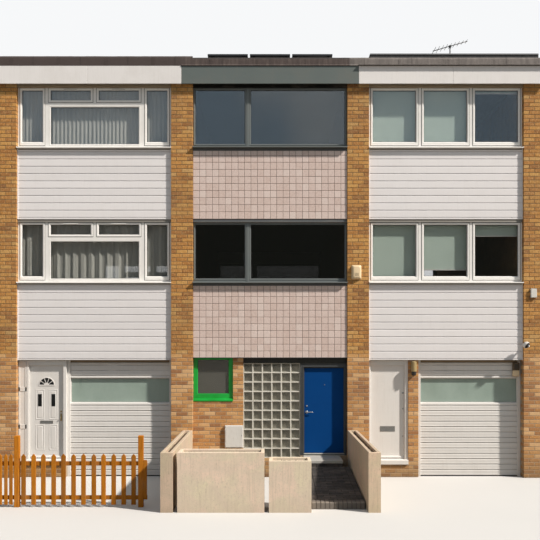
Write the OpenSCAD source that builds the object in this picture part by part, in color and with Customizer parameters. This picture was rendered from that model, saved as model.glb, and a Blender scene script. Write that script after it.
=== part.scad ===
// Row of three narrow terraced houses, three storeys high, between brick cross walls.
// The origin is on the ground at the centre of the plan of the three houses.
// +X runs along the street, +Y runs into the houses and +Z is up.

/* [Row] */
// Clear width of a house between two brick cross walls
opening_w = 3220; // [2900:10:3900]
// Thickness of a brick cross wall, which shows as a pier
pier_w = 455; // [400:5:560]
// Depth of the houses from front pier face to rear pier face
house_depth = 8500; // [7000:50:11000]
// Height from one window sill to the sill above it
storey_h = 2817; // [2760:1:2950]
// Height of the first-floor window sill above the ground
first_sill_z = 4060; // [4000:10:4200]
// Height of the ground-storey window sills in the rear wall above the ground
rear_sill_z = 1243; // [1000:1:1260]
// Depth from the pier face to the face of the wall panels between the piers
panel_wall_inset = 100; // [95:5:140]
// Thickness of the wall panels between the piers
panel_wall_t = 200; // [180:10:260]

/* [Floors and roof] */
// Level of the ground floor in the outer houses
side_floor_z = 360; // [250:10:370]
// Level of the ground floor in the middle house
middle_floor_z = 470; // [380:10:475]
// Thickness of an upper floor
floor_t = 220; // [180:10:260]
// Height of a window sill above its own floor
sill_above_floor = 950; // [900:10:1000]
// Thickness of the flat roof
roof_t = 220; // [180:10:240]
// Distance that the roof edge stands out past the piers
eaves_out = 75; // [40:5:150]
// Thickness of the fascia board
fascia_t = 25; // [18:1:40]
// Height of the fascia board
fascia_h = 370; // [320:10:450]
// Height of the beam between the top windows and the roof
head_beam_h = 175; // [170:5:220]
// Distance that the fascia board hangs below the roof's edge behind it
fascia_lip = 40; // [10:5:60]
// Gap between two fascia boards
fascia_joint = 3; // [2:1:6]
// Height of the felt kerb along the roof edge
kerb_h = 190; // [120:10:260]
// Extra height of the kerb over the left house
kerb_left_more = 30; // [10:5:60]
// Width of the felt kerb
kerb_w = 260; // [200:10:400]
// Height of the timber board over each top window
head_board_h = 60; // [30:5:70]

/* [Windows] */
// Height of every window with its sill
window_h = 1280; // [1200:10:1330]
// Depth of a window frame
window_d = 70; // [60:5:90]
// Thickness of the glass units
glass_t = 24; // [20:1:28]
// Distance that a window frame stands proud of the wall panel behind it
window_proud = 5; // [2:1:20]
// Width of the outer members of a white window
white_rim = 88; // [70:2:110]
// Width of the upright bars of a white window
white_bar = 168; // [120:2:180]
// Width of the side lights of a four-light window
side_light_w = 430; // [350:5:500]
// Height of the top-hung fanlights
fanlight_h = 205; // [160:5:260]
// Height of the bar under the fanlights
transom_h = 146; // [100:2:160]
// Width of the outer members of a dark window
dark_rim = 45; // [35:1:60]
// Width of the upright bar of a dark window
dark_bar = 126; // [90:2:140]
// Width of the narrow light of a dark window
dark_light_w = 1036; // [900:4:1200]
// Height of the head member of a white window
white_head = 50; // [40:2:90]
// Height of the bottom rail of every window
bottom_rail_h = 104; // [80:2:130]
// Thickness of the sill board
sill_t = 30; // [20:1:40]
// Distance that the sill board stands out past the pier face
sill_out = 18; // [5:1:40]
// Distance that the sill board of a dark window stands out past the pier face
dark_sill_out = 70; // [20:1:90]

/* [Wall cladding] */
// Distance from the pier face to the face of the cladding
clad_inset = 60; // [40:2:80]
// Visible height of one shiplap board
board_pitch = 152; // [120:1:170]
// Depth of the slanted lap of a shiplap board
board_lap = 12; // [6:1:18]
// Height of the underside of the boards over the ground storey
board_foot_z = 2450; // [2440:5:2560]
// Height of the underside of the tiles over the ground storey
tile_foot_z = 2500; // [2440:5:2560]
// Height of the metal trim over a window, under the cladding
head_trim_h = 60; // [30:2:80]
// Thickness of the tile panels with their backing
tile_t = 72; // [34:1:80]

/* [Doors] */
// Thickness of a door leaf
leaf_t = 44; // [40:1:54]
// Running gap round a door leaf
door_gap = 8; // [8:1:12]
// Width of an outer house's door with its frame
side_door_w = 832; // [780:2:980]
// Width of the frame member on the hinge side of an outer house's door
side_hinge_jamb = 42; // [36:1:60]
// Width of the frame member on the lock side of an outer house's door
side_lock_jamb = 64; // [50:1:80]
// Width of the middle house's door with its frame
middle_door_w = 979; // [900:1:1050]
// Width of the frame member on the hinge side of the middle door
middle_hinge_jamb = 51; // [45:1:60]
// Width of the frame member on the lock side of the middle door
middle_lock_jamb = 73; // [55:1:85]
// Height of a door frame's head member
door_head_h = 100; // [70:5:120]
// Height of the middle door frame's head member
middle_head_h = 88; // [60:2:110]
// Height of a door's sill board
door_sill_h = 110; // [60:5:120]
// Height of the middle door's sill
middle_sill_h = 40; // [25:5:60]
// Level of the top of an outer house's door sill
side_sill_z = 380; // [375:5:420]
// Level of the top of the middle house's door sill
middle_sill_z = 495; // [485:5:540]
// Depth of a door frame
door_frame_d = 100; // [90:2:120]
// Width of the door stop that covers the gap from outside
stop_w = 16; // [12:1:20]
// Thickness of the door stop
stop_t = 18; // [12:1:24]
// Gap between a closed leaf and its stop
stop_gap = 5; // [5:1:8]
// Distance from the pier face to the outer face of the white doors
side_leaf_inset = 185; // [180:1:200]
// Distance from the pier face to the outer face of the middle door
middle_leaf_inset = 160; // [150:1:170]
// Distance of the hinge pins behind the inner face of a leaf
hinge_back = 9; // [8:1:12]
// Distance of the outer hinges from the head and foot of the door opening
hinge_end = 220; // [180:5:300]
// Diameter of a hinge knuckle
knuckle_d = 14; // [10:1:15]
// Height of one hinge knuckle
knuckle_h = 34; // [25:1:45]
// Reach of a hinge flap from its pin
flap_w = 34; // [26:1:38]
// Height of the lever handle above the middle door's sill
handle_up = 865; // [800:5:1000]
// Distance of the lever handle from the lock edge of the leaf
handle_in = 60; // [50:2:80]
// Length of the lever
lever_l = 125; // [100:5:150]
// Diameter of the lever and of its neck
lever_d = 18; // [14:1:22]
// Distance that the handle stands out from the leaf
handle_out = 52; // [45:1:65]
// Diameter of the handle's rose
rose_d = 54; // [48:1:60]
// Thickness of the handle's rose
rose_t = 8; // [5:1:12]
// Height of the left door's foot rail below its panels
door_foot_rail_h = 180; // [140:5:220]
// Height of the left door's lower panels
low_panel_h = 540; // [400:10:600]
// Height of the left door's lock rail between its panels
lock_rail_h = 100; // [80:5:140]
// Width of the white side panel beside the left house's door
side_panel_w = 174; // [120:2:230]

/* [Ground storey] */
// Width and depth of the narrow brick pier beside the right house's door
brick_l = 215; // [200:5:230]
// Distance from the pier face to the face of the garage boards
garage_inset = 225; // [220:5:235]
// Thickness of the garage boards
garage_board_t = 40; // [30:2:50]
// Visible height of one garage board
garage_pitch = 113; // [90:1:130]
// Height of the topmost garage board
garage_top_board = 58; // [40:1:113]
// Depth of the groove between two garage boards
garage_groove = 8; // [4:1:12]
// Width of the narrow post of a garage front
garage_post_w = 65; // [50:5:90]
// Width of the wide post of a garage front
garage_wide_post_w = 60; // [40:5:160]
// Depth of the posts of a garage front
garage_post_d = 95; // [60:5:110]
// Height of the underside of the garage glass strip
garage_glass_z = 1555; // [1400:5:1650]
// Height of a rail behind the garage boards, at the edge of the glass
garage_rail_h = 45; // [30:5:60]
// Distance from the face of the garage glass to the back of its rails
garage_glass_back = 20; // [14:1:30]
// Height of the garage glass strip
garage_glass_h = 515; // [400:5:600]
// Edge length of a glass block with its joint
block_pitch = 198.6; // [190:0.2:205]
// Width of the joint between two glass blocks
block_joint = 9; // [6:0.5:12]
// Depth of the joints below the face of the blocks
joint_depth = 6; // [3:0.5:10]
// Thickness of the glass-block screen
block_t = 100; // [80:5:100]
// Least width of the brickwork between the green window and the glass blocks
green_side_brick = 200; // [110:5:215]
// Number of rows of glass blocks
block_rows = 10; // [9:1:10]
// Height of the dark steel lintel over the screen and the middle door
lintel_h = 110; // [90:5:120]
// Width of the green window box
green_w = 832; // [780:2:860]
// Height of the green window box
green_h = 910; // [800:5:980]
// Width of the green frame's members
green_rim = 82; // [60:2:95]
// Height of the green frame's top member
green_top = 30; // [20:2:95]
// Height of the green frame's bottom member with its sill
green_foot = 150; // [120:5:170]
// Distance from the face of the brickwork back to the face of the green frame
green_inset = 40; // [20:5:60]
// Height of the green sill
green_sill_h = 60; // [40:5:80]
// Distance that the green sill stands out from the brickwork
green_sill_out = 15; // [5:5:40]
// Depth of the pocket between the green frame's members
green_pocket = 22; // [15:1:40]

/* [Forecourt] */
// Length of the forecourt from the pier face to the front of the planters
forecourt = 3340; // [3000:20:3800]
// Height of the concrete trough walls and the large planter
planter_h = 995; // [800:5:1100]
// Height of the small planter
small_planter_h = 855; // [700:5:900]
// Width of a concrete trough wall
trough_w = 204; // [180:2:240]
// Distance that the trough walls stand outside the edges of the middle opening
trough_offset = 5; // [0:1:40]
// Width of the small planter
small_planter_w = 702; // [600:2:720]
// Depth of both planter boxes
planter_d = 465; // [400:5:560]
// Gap between the two planter boxes, and between the large one and its trough
planter_gap = 75; // [60:5:90]
// Wall thickness of the concrete planters
planter_t = 60; // [45:5:70]
// Depth of the soil below a planter's rim
soil_drop = 50; // [30:5:120]
// Depth of the soil in the planters
soil_t = 300; // [200:10:400]
// Width of the ramp to the middle door
ramp_w = 901; // [850:1:1000]
// Gap between the small planter and the ramp beside it
ramp_gap = 20; // [10:5:60]
// Level of the ramp at its foot
ramp_foot_z = 116; // [100:2:200]
// Distance from the planters' front face back to the ramp's foot
ramp_set_back = 265; // [20:5:400]
// Level of the ramp at the landing
ramp_head_z = 342; // [300:2:420]
// Length of the landing in front of the piers
landing_out = 650; // [500:10:1200]
// Gap between the landing and the right trough wall
landing_side_gap = 155; // [20:5:250]
// Gap between the ramp and the right trough wall
ramp_side_gap = 20; // [5:5:120]

/* [Fence] */
// Distance from the pier face to the fence
fence_out = 2900; // [2600:20:3300]
// Distance from one picket to the next
picket_pitch = 171; // [140:1:200]
// Width of a picket
picket_w = 78; // [60:1:90]
// Thickness of a picket
picket_t = 18; // [14:1:24]
// Height of a picket
picket_h = 915; // [800:5:1000]
// Height of the picket's pointed tip
picket_tip = 45; // [30:2:90]
// Gap between a picket and the ground
picket_lift = 45; // [20:5:80]
// Width of a picket in the close-set bay
close_picket_w = 57; // [40:1:70]
// Distance from one close-set picket to the next
close_pitch = 90; // [75:1:120]
// Gap between the fence and the left trough wall
fence_end_gap = 286; // [200:2:400]
// Distance of the fence's outer end inside the middle of the end cross wall
fence_start = 50; // [0:10:120]
// Distance between the two posts of the wide bay
fence_bay = 2114; // [1800:2:2400]
// Width of the board beyond the last post
end_board_w = 67; // [50:1:90]
// Level of the foot of the board beyond the last post
end_board_z = 161; // [120:1:200]
// Height of the board beyond the last post
end_board_h = 647; // [560:1:720]
// Edge length of a square fence post
post_w = 85; // [75:1:100]
// Height of a fence post
post_h = 1220; // [1050:10:1300]
// Height of a fence rail
rail_h = 70; // [50:2:90]
// Thickness of a fence rail
rail_t = 38; // [30:1:50]
// Level of the underside of the lower fence rail
low_rail_z = 130; // [100:5:200]
// Level of the underside of the upper fence rail
high_rail_z = 710; // [600:5:750]

/* [Wall fittings] */
// Width of the meter box
meter_w = 385; // [350:5:420]
// Height of the meter box
meter_h = 470; // [400:5:560]
// Depth of the meter box
meter_d = 60; // [40:2:80]
// Level of the underside of the meter box
meter_z = 620; // [500:10:700]
// Width of the junction box on the right pier
junction_w = 125; // [100:5:220]
// Height of the junction box
junction_h = 188; // [120:2:220]
// Depth of the junction box
junction_d = 50; // [40:5:100]
// Level of the underside of the junction box
junction_z = 3754; // [3500:2:3900]
// Diameter of the dome camera on the right pier
dome_d = 150; // [120:5:170]
// Distance from the pier face to the middle of the dome camera
dome_out = 120; // [100:5:150]
// Level of the middle of the dome camera
dome_z = 2765; // [2650:5:2900]
// Width of the alarm box
alarm_w = 210; // [180:5:260]
// Height of the alarm box
alarm_h = 300; // [240:5:340]
// Depth of the alarm box
alarm_d = 70; // [50:2:90]
// Level of the underside of the alarm box
alarm_z = 4135; // [3900:5:4300]
// Diameter of the round wall lamp
lamp_d = 115; // [90:5:140]
// Height of the round wall lamp
lamp_h = 300; // [240:5:320]
// Height of the round wall lamp's narrower foot
lamp_foot_h = 85; // [60:5:120]
// Level of the underside of the round wall lamp
lamp_z = 2130; // [2000:5:2140]
// Width of the box light
box_light_w = 145; // [120:2:170]
// Height of the box light
box_light_h = 290; // [200:5:320]
// Depth of the box light
box_light_d = 75; // [60:1:90]
// Level of the underside of the box light
box_light_z = 2110; // [2000:5:2120]
// Distance of the box light from the pier beside it
box_light_side = 35; // [10:1:60]

/* [Roof fittings] */
// Width of a solar panel
solar_w = 860; // [800:10:1000]
// Length of a solar panel
solar_l = 1600; // [1400:10:1800]
// Thickness of a solar panel
solar_t = 40; // [30:1:50]
// Gap between two solar panels
solar_gap = 45; // [20:5:80]
// Height of the solar panels' front edge above the roof
solar_lift = 400; // [300:10:450]
// Distance from the pier face to the solar panels' front edge
solar_y = 420; // [350:10:600]
// Height of the felt-covered upstand on the right roof
upstand_h = 450; // [350:10:500]
// Thickness of the upstand
upstand_t = 200; // [150:10:260]
// Distance from the pier face to the upstand
upstand_y = 420; // [350:10:600]
// Distance of the aerial's mast to the right of the right house's middle
mast_x = 430; // [300:10:800]
// Distance from the pier face to the aerial's mast
mast_y = 1500; // [1200:50:2500]
// Height of the aerial's mast above the roof
mast_h = 1050; // [800:10:1300]
// Diameter of the aerial's mast
mast_d = 32; // [25:1:40]
// Length of the aerial's boom
boom_l = 820; // [600:10:1000]
// Diameter of the aerial's boom
boom_d = 20; // [16:1:30]
// Diameter of the aerial's rods
rod_d = 10; // [6:1:12]
// Number of rods across the aerial's boom
rods = 9; // [6:1:10]

/* [Hidden] */

$fn = 32;
eps = 1;
pitch = opening_w + pier_w;
row_w = 3 * opening_w + 4 * pier_w;
half = opening_w / 2;
house_x = [-pitch, 0, pitch];
window_foot = [first_sill_z, first_sill_z + storey_h];
rear_foot = [rear_sill_z, first_sill_z, first_sill_z + storey_h];
top_head = window_foot[1] + window_h;
roof_z = top_head + head_beam_h;
roof_top = roof_z + roof_t;
fascia_foot = roof_top - fascia_h;
hinge_play = 0.3;
edge_foot = fascia_foot + fascia_lip;
inner_y = panel_wall_inset + panel_wall_t;
rear_y = house_depth - inner_y;
window_y = panel_wall_inset - window_proud;

// The modules below count Y from the front pier faces; this moves them to the row's own frame
module in_frame() {
  translate([0, -house_depth / 2, 0]) children();
}

// A box from one corner to the other
module block(a, b) {
  translate(a) cube(b - a);
}

// A shape of the front wall, repeated on the rear wall
module front_and_rear() {
  children();
  translate([0, house_depth, 0]) mirror([0, 1, 0]) children();
}

module party_walls() {
  color("#b08050")
    for (i = [0 : 3])
      translate([-row_w / 2 + i * pitch, 0, 0]) cube([pier_w, house_depth, roof_z]);
}

// Floor slab of one house, with its top at level z
module floor_slab(i, z, t) {
  translate([house_x[i] - half, inner_y, z - t]) cube([opening_w, rear_y - inner_y, t]);
}

module ground_floors() {
  levels = [side_floor_z, middle_floor_z, side_floor_z];
  color("#9a958c")
    for (i = [0 : 2]) floor_slab(i, levels[i], levels[i]);
}

module first_floors() {
  color("#a08060")
    for (i = [0 : 2]) floor_slab(i, window_foot[0] - sill_above_floor, floor_t);
}

module second_floors() {
  color("#a08060")
    for (i = [0 : 2]) floor_slab(i, window_foot[1] - sill_above_floor, floor_t);
}

module roof_deck() {
  edge = [
    [-eaves_out, edge_foot], [0, edge_foot], [0, roof_z],
    [house_depth, roof_z], [house_depth, edge_foot],
    [house_depth + eaves_out, edge_foot],
    [house_depth + eaves_out, roof_top], [-eaves_out, roof_top]
  ];
  color("#6a6865")
    translate([-row_w / 2, 0, 0]) rotate([90, 0, 90]) linear_extrude(row_w) polygon(edge);
}

module kerb_run(x0, x1, h) {
  front = -eaves_out - fascia_t;
  profile = [
    [front, roof_top], [front, roof_top + h - 50], [front + 25, roof_top + h - 12],
    [front + 60, roof_top + h], [front + 110, roof_top + h - 8], [front + kerb_w, roof_top]
  ];
  translate([x0, 0, 0]) rotate([90, 0, 90]) linear_extrude(x1 - x0) polygon(profile);
}

// The felt-covered kerb along the front and the rear edge of the roof
module roof_kerbs() {
  color("#3c3430")
    front_and_rear() {
      kerb_run(-row_w / 2, -half, kerb_h + kerb_left_more);
      kerb_run(-half - eps, row_w / 2, kerb_h);
    }
}

// Fascia boards of one house, from the middle of one pier to the middle of the next
module fascias(i) {
  left = i == 0 ? -row_w / 2 : house_x[i] - pitch / 2 + fascia_joint / 2;
  right = i == 2 ? row_w / 2 : house_x[i] + pitch / 2 - fascia_joint / 2;
  front_and_rear()
    block([left, -eaves_out - fascia_t, fascia_foot], [right, -eaves_out, roof_top]);
}

module fascias_left() {
  color("#e6e4e0") fascias(0);
}

module fascias_middle() {
  color("#66706c") fascias(1);
}

module fascias_right() {
  color("#e6e4e0") fascias(2);
}

module window_head_boards() {
  color("#8a5a34")
    front_and_rear()
      for (x = house_x)
        block(
          [x - half, clad_inset - 20, top_head],
          [x + half, panel_wall_inset, top_head + head_board_h]
        );
}

// One wall panel of a house between two levels
module panel_wall(x, low, high) {
  block([x - half, panel_wall_inset, low], [x + half, inner_y, high]);
}

module panel_walls() {
  foot = [board_foot_z, tile_foot_z, board_foot_z];
  color("#b9b3a8") {
    for (i = [0 : 2]) panel_wall(house_x[i], foot[i], window_foot[0]);
    front_and_rear()
      for (x = house_x) {
        panel_wall(x, window_foot[0] + window_h, window_foot[1]);
        panel_wall(x, top_head, roof_z);
      }
    translate([0, house_depth, 0]) mirror([0, 1, 0])
      for (x = house_x) panel_wall(x, rear_foot[0] + window_h, rear_foot[1]);
  }
}

module rear_apron_walls() {
  color("#b08050")
    translate([0, house_depth, 0]) mirror([0, 1, 0])
      for (x = house_x) panel_wall(x, 0, rear_foot[0]);
}

// Overlapping boards as one sheet: each board slants out towards its foot
module shiplap(x, low, high) {
  count = floor((high - low) / board_pitch);
  shift = high - low - count * board_pitch;
  lap = [
    for (k = [0 : count - 1])
      each [
        [clad_inset, low + shift + k * board_pitch],
        [clad_inset + board_lap, low + shift + (k + 1) * board_pitch]
      ]
  ];
  outline = concat(
    [[panel_wall_inset, low], [clad_inset, low]],
    shift > eps ? [[clad_inset + board_lap * shift / board_pitch, low + shift]] : [],
    lap,
    [[panel_wall_inset, high]]
  );
  translate([x - half, 0, 0]) rotate([90, 0, 90]) linear_extrude(opening_w) polygon(outline);
}

module house_shiplap(x) {
  upper = window_foot[0] + window_h + head_trim_h;
  shiplap(x, board_foot_z, window_foot[0]);
  shiplap(x, upper, window_foot[1]);
  translate([0, house_depth, 0]) mirror([0, 1, 0]) {
    shiplap(x, rear_foot[0] + window_h + head_trim_h, rear_foot[1]);
    shiplap(x, upper, window_foot[1]);
  }
}

module shiplap_left() {
  color("#eceae6") house_shiplap(house_x[0]);
}

module shiplap_right() {
  color("#eceae6") house_shiplap(house_x[2]);
}

module tile_panel(x, low, high) {
  block([x - half, panel_wall_inset - tile_t, low], [x + half, panel_wall_inset, high]);
}

module tile_panels() {
  upper = window_foot[0] + window_h + head_trim_h;
  color("#cfb0a8") {
    tile_panel(0, tile_foot_z, window_foot[0]);
    tile_panel(0, upper, window_foot[1]);
    translate([0, house_depth, 0]) mirror([0, 1, 0]) {
      tile_panel(0, rear_foot[0] + window_h + head_trim_h, rear_foot[1]);
      tile_panel(0, upper, window_foot[1]);
    }
  }
}

// The glass openings of a window, each [left, foot, right, head] from the middle of the sill
function four_lights() =
  let (
    a = -half + white_rim, b = a + side_light_w, c = b + white_bar,
    low = bottom_rail_h, high = window_h - white_head,
    split = high - fanlight_h, main = split - transom_h, mid = white_bar / 2
  )
  [
    [a, low, b, high], [-b, low, -a, high], [c, low, -c, main],
    [c, split, -mid, high], [mid, split, -c, high]
  ];

function three_lights() =
  let (
    light = (opening_w - 2 * white_rim - 2 * white_bar) / 3,
    low = bottom_rail_h, high = window_h - white_head
  )
  [
    for (k = [0 : 2])
      let (a = -half + white_rim + k * (light + white_bar))
      [a, low, a + light, high]
  ];

function two_lights() =
  let (
    a = -half + dark_rim, b = a + dark_light_w,
    low = bottom_rail_h, high = window_h - dark_rim
  )
  [[a, low, b, high], [b + dark_bar, low, -a, high]];

styles = [four_lights(), two_lights(), three_lights()];

// Frame of one window with its sill board
module window_frame(i, z) {
  out = i == 1 ? dark_sill_out : sill_out;
  translate([house_x[i], 0, z])
    difference() {
      union() {
        block([-half, window_y, sill_t], [half, panel_wall_inset + window_d - window_proud, window_h]);
        block([-half, -out, 0], [half, panel_wall_inset + window_d - window_proud, sill_t]);
      }
      for (light = styles[i])
        block([light[0], window_y - eps, light[1]], [light[2], window_y + window_d + eps, light[3]]);
    }
}

module panes(i, z) {
  mid = window_y + window_d / 2;
  translate([house_x[i], 0, z])
    for (light = styles[i])
      block([light[0], mid - glass_t / 2, light[1]], [light[2], mid + glass_t / 2, light[3]]);
}

module left_upper_window() {
  color("#f0eeea") window_frame(0, window_foot[1]);
}

module left_lower_window() {
  color("#f0eeea") window_frame(0, window_foot[0]);
}

module middle_upper_window() {
  color("#3a4042") window_frame(1, window_foot[1]);
}

module middle_lower_window() {
  color("#3a4042") window_frame(1, window_foot[0]);
}

module right_upper_window() {
  color("#f0eeea") window_frame(2, window_foot[1]);
}

module right_lower_window() {
  color("#f0eeea") window_frame(2, window_foot[0]);
}

module rear_windows(houses) {
  translate([0, house_depth, 0]) mirror([0, 1, 0])
    for (i = houses, z = rear_foot) window_frame(i, z);
}

module rear_white_windows() {
  color("#f0eeea") rear_windows([0, 2]);
}

module rear_dark_windows() {
  color("#3a4042") rear_windows([1]);
}

module window_glass() {
  color("#8fa0a4", 0.5) {
    for (i = [0 : 2], z = window_foot) panes(i, z);
    translate([0, house_depth, 0]) mirror([0, 1, 0])
      for (i = [0 : 2], z = rear_foot) panes(i, z);
  }
}

// Door frame with its left edge at x: jambs, head, sill board and a stop outside the leaf
module door_frame(x, w, left_jamb, right_jamb, leaf_y, foot, sill_top, head, head_h, nose) {
  frame_y = leaf_y + leaf_t - door_frame_d;
  back_y = leaf_y + leaf_t;
  stop_y = leaf_y - stop_gap - stop_t;
  difference() {
    block([x, frame_y, foot], [x + w, back_y, head]);
    block([x + left_jamb, frame_y - eps, sill_top], [x + w - right_jamb, back_y + eps, head - head_h]);
  }
  if (nose > 0) block([x, frame_y - nose, foot], [x + w, frame_y, sill_top]);
  difference() {
    block([x + left_jamb, stop_y, sill_top], [x + w - right_jamb, stop_y + stop_t, head - head_h]);
    block(
      [x + left_jamb + stop_w, stop_y - eps, sill_top - eps],
      [x + w - right_jamb - stop_w, stop_y + stop_t + eps, head - head_h - stop_w]
    );
  }
}

// One hinge knuckle with its flap, which reaches to the left for side -1 and to the right for 1
module knuckle(x, y, z, side) {
  translate([x, y + hinge_back, z]) cylinder(d = knuckle_d, h = knuckle_h);
  block([min(x, x + side * flap_w), y, z], [max(x, x + side * flap_w), y + hinge_back, z + knuckle_h]);
}

// The frame's middle knuckle of each of three hinges, with its pin at x
module frame_knuckles(x, y, foot, head, side) {
  for (z = hinge_levels(foot, head)) knuckle(x, y, z, side);
}

// The leaf's upper and lower knuckle of each of three hinges
module leaf_knuckles(x, y, foot, head, side) {
  for (z = hinge_levels(foot, head), shift = [-1, 1])
    knuckle(x, y, z + shift * (knuckle_h + hinge_play), side);
}

function hinge_levels(foot, head) = [foot + hinge_end, (foot + head) / 2, head - hinge_end];

module door_leaf(x, w, left_jamb, right_jamb, leaf_y, sill_top, head) {
  block(
    [x + left_jamb + door_gap, leaf_y, sill_top + door_gap],
    [x + w - right_jamb - door_gap, leaf_y + leaf_t, head - door_gap]
  );
}

left_door_x = house_x[0] - half + side_panel_w;
right_door_x = house_x[2] - half;
middle_door_x = half - middle_door_w;
side_head = board_foot_z - door_head_h;
middle_frame_head = tile_foot_z - lintel_h;
middle_head = middle_frame_head - middle_head_h;
side_nose = side_leaf_inset + leaf_t - door_frame_d - clad_inset;
side_back_y = side_leaf_inset + leaf_t;
middle_back_y = middle_leaf_inset + leaf_t;
middle_pin_x = half - middle_hinge_jamb - door_gap / 2;

function side_pin_x(x) = x + side_hinge_jamb + door_gap / 2;

module side_door_frame(x) {
  door_frame(
    x, side_door_w, side_hinge_jamb, side_lock_jamb, side_leaf_inset,
    side_sill_z - door_sill_h, side_sill_z, board_foot_z, door_head_h, side_nose
  );
  frame_knuckles(side_pin_x(x), side_back_y, side_sill_z, side_head, -1);
}

module side_door_leaf(x) {
  door_leaf(x, side_door_w, side_hinge_jamb, side_lock_jamb, side_leaf_inset, side_sill_z, side_head);
  leaf_knuckles(side_pin_x(x), side_back_y, side_sill_z, side_head, 1);
}

module left_door_frame() {
  frame_y = side_leaf_inset + leaf_t - door_frame_d;
  color("#f0eeea") {
    side_door_frame(left_door_x);
    block(
      [left_door_x - side_panel_w, frame_y, side_sill_z - door_sill_h],
      [left_door_x, side_back_y, board_foot_z]
    );
  }
}

// White panelled door with an arched light at its head
module left_door() {
  leaf_w = side_door_w - side_hinge_jamb - side_lock_jamb - 2 * door_gap;
  middle = left_door_x + side_hinge_jamb + door_gap + leaf_w / 2;
  arch_z = side_head - door_gap - 420;
  arch_r = leaf_w * 0.245;
  panel_foot = side_sill_z + door_foot_rail_h;
  panel_head = panel_foot + low_panel_h;
  color("#f0eeea")
    difference() {
      side_door_leaf(left_door_x);
      intersection() {
        translate([middle, side_leaf_inset - eps, arch_z])
          rotate([-90, 0, 0]) cylinder(r = arch_r, h = 8 + eps, $fn = 48);
        block([middle - arch_r, 0, arch_z], [middle + arch_r, house_depth, arch_z + arch_r]);
      }
      for (side = [-1, 1])
        translate([middle + side * leaf_w * 0.2, side_leaf_inset, 0]) {
          block([-leaf_w * 0.12, -eps, panel_foot], [leaf_w * 0.12, 8, panel_head]);
          block([-leaf_w * 0.12, -eps, panel_head + lock_rail_h], [leaf_w * 0.12, 8, arch_z - 70]);
        }
    }
}

module right_door_frame() {
  color("#f0eeea") side_door_frame(right_door_x);
}

module right_door() {
  color("#f0eeea") side_door_leaf(right_door_x);
}

module middle_door_frame() {
  color("#4a4e50") {
    door_frame(
      middle_door_x, middle_door_w, middle_lock_jamb, middle_hinge_jamb, middle_leaf_inset,
      middle_sill_z - middle_sill_h, middle_sill_z, middle_frame_head, middle_head_h, 0
    );
    frame_knuckles(middle_pin_x, middle_back_y, middle_sill_z, middle_head, 1);
  }
}

module middle_door() {
  color("#0b3f8c") {
    door_leaf(
      middle_door_x, middle_door_w, middle_lock_jamb, middle_hinge_jamb, middle_leaf_inset,
      middle_sill_z, middle_head
    );
    leaf_knuckles(middle_pin_x, middle_back_y, middle_sill_z, middle_head, -1);
  }
}

// Lever handle with its round rose
module middle_door_handle() {
  handle_z = middle_sill_z + handle_up;
  handle_x = middle_door_x + middle_lock_jamb + door_gap + handle_in;
  color("#c8cacc")
    translate([handle_x, middle_leaf_inset, handle_z]) rotate([90, 0, 0]) {
      cylinder(d = rose_d, h = rose_t);
      cylinder(d = lever_d, h = handle_out);
      translate([0, 0, handle_out - lever_d / 2]) rotate([0, 90, 0]) cylinder(d = lever_d, h = lever_l);
    }
}

// Brick bases that carry the three front doors
module door_bases() {
  color("#b08050") {
    block([left_door_x - side_panel_w, panel_wall_inset, 0],
      [left_door_x + side_door_w, inner_y, side_sill_z - door_sill_h]);
    block([right_door_x, panel_wall_inset, 0],
      [right_door_x + side_door_w, inner_y, side_sill_z - door_sill_h]);
    block([middle_door_x, panel_wall_inset, 0],
      [middle_door_x + middle_door_w, inner_y, middle_sill_z - middle_sill_h]);
  }
}

narrow_pier_x = right_door_x + side_door_w;

module narrow_pier() {
  color("#b08050")
    block([narrow_pier_x, panel_wall_inset, 0], [narrow_pier_x + brick_l, inner_y, board_foot_z]);
}

left_garage = [left_door_x + side_door_w, house_x[0] + half];
right_garage = [narrow_pier_x + brick_l, house_x[2] + half];

// Grooved boards as one sheet, with its face at the garage inset; the last board may be narrower
module grooved_boards(x0, x1, low, high) {
  count = ceil((high - low) / garage_pitch);
  half_groove = garage_groove;
  outline = concat(
    [[garage_inset + garage_board_t, low], [garage_inset, low]],
    [
      for (k = [count : -1 : 0])
        let (z = high - garage_top_board - k * garage_pitch)
        if (z > low + half_groove + eps)
          each [
            [garage_inset, z - half_groove], [garage_inset + garage_groove, z],
            [garage_inset, z + half_groove]
          ]
    ],
    [[garage_inset, high], [garage_inset + garage_board_t, high]]
  );
  translate([x0, 0, 0]) rotate([90, 0, 90]) linear_extrude(x1 - x0) polygon(outline);
}

// Infill front of one garage: two posts, boards below and above a strip of glass
module garage_front(span) {
  a = span[0] + garage_post_w;
  b = span[1] - garage_wide_post_w;
  post_y = inner_y - garage_post_d;
  glass_head = garage_glass_z + garage_glass_h;
  block([span[0], post_y, 0], [a, inner_y, board_foot_z]);
  block([b, post_y, 0], [span[1], inner_y, board_foot_z]);
  grooved_boards(a, b, 0, garage_glass_z);
  grooved_boards(a, b, glass_head, board_foot_z);
  for (z = [garage_glass_z - garage_rail_h, glass_head])
    block([a, garage_inset + garage_board_t, z], [b, inner_y, z + garage_rail_h]);
}

module garage_fronts() {
  color("#eceae6") {
    garage_front(left_garage);
    garage_front(right_garage);
  }
}

module garage_glass() {
  front = inner_y - garage_glass_back;
  color("#9fb0a6", 0.6)
    for (span = [left_garage, right_garage])
      block(
        [span[0] + garage_post_w, front, garage_glass_z],
        [span[1] - garage_wide_post_w, front + glass_t / 2, garage_glass_z + garage_glass_h]
      );
}

block_cols = floor((opening_w - middle_door_w - green_w - green_side_brick) / block_pitch);
screen_w = block_cols * block_pitch;
screen_h = block_rows * block_pitch;
screen_x = middle_door_x - screen_w;
screen_head = tile_foot_z - lintel_h;
screen_foot = screen_head - screen_h;
green_head = tile_foot_z;
green_z = green_head - green_h;

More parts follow.
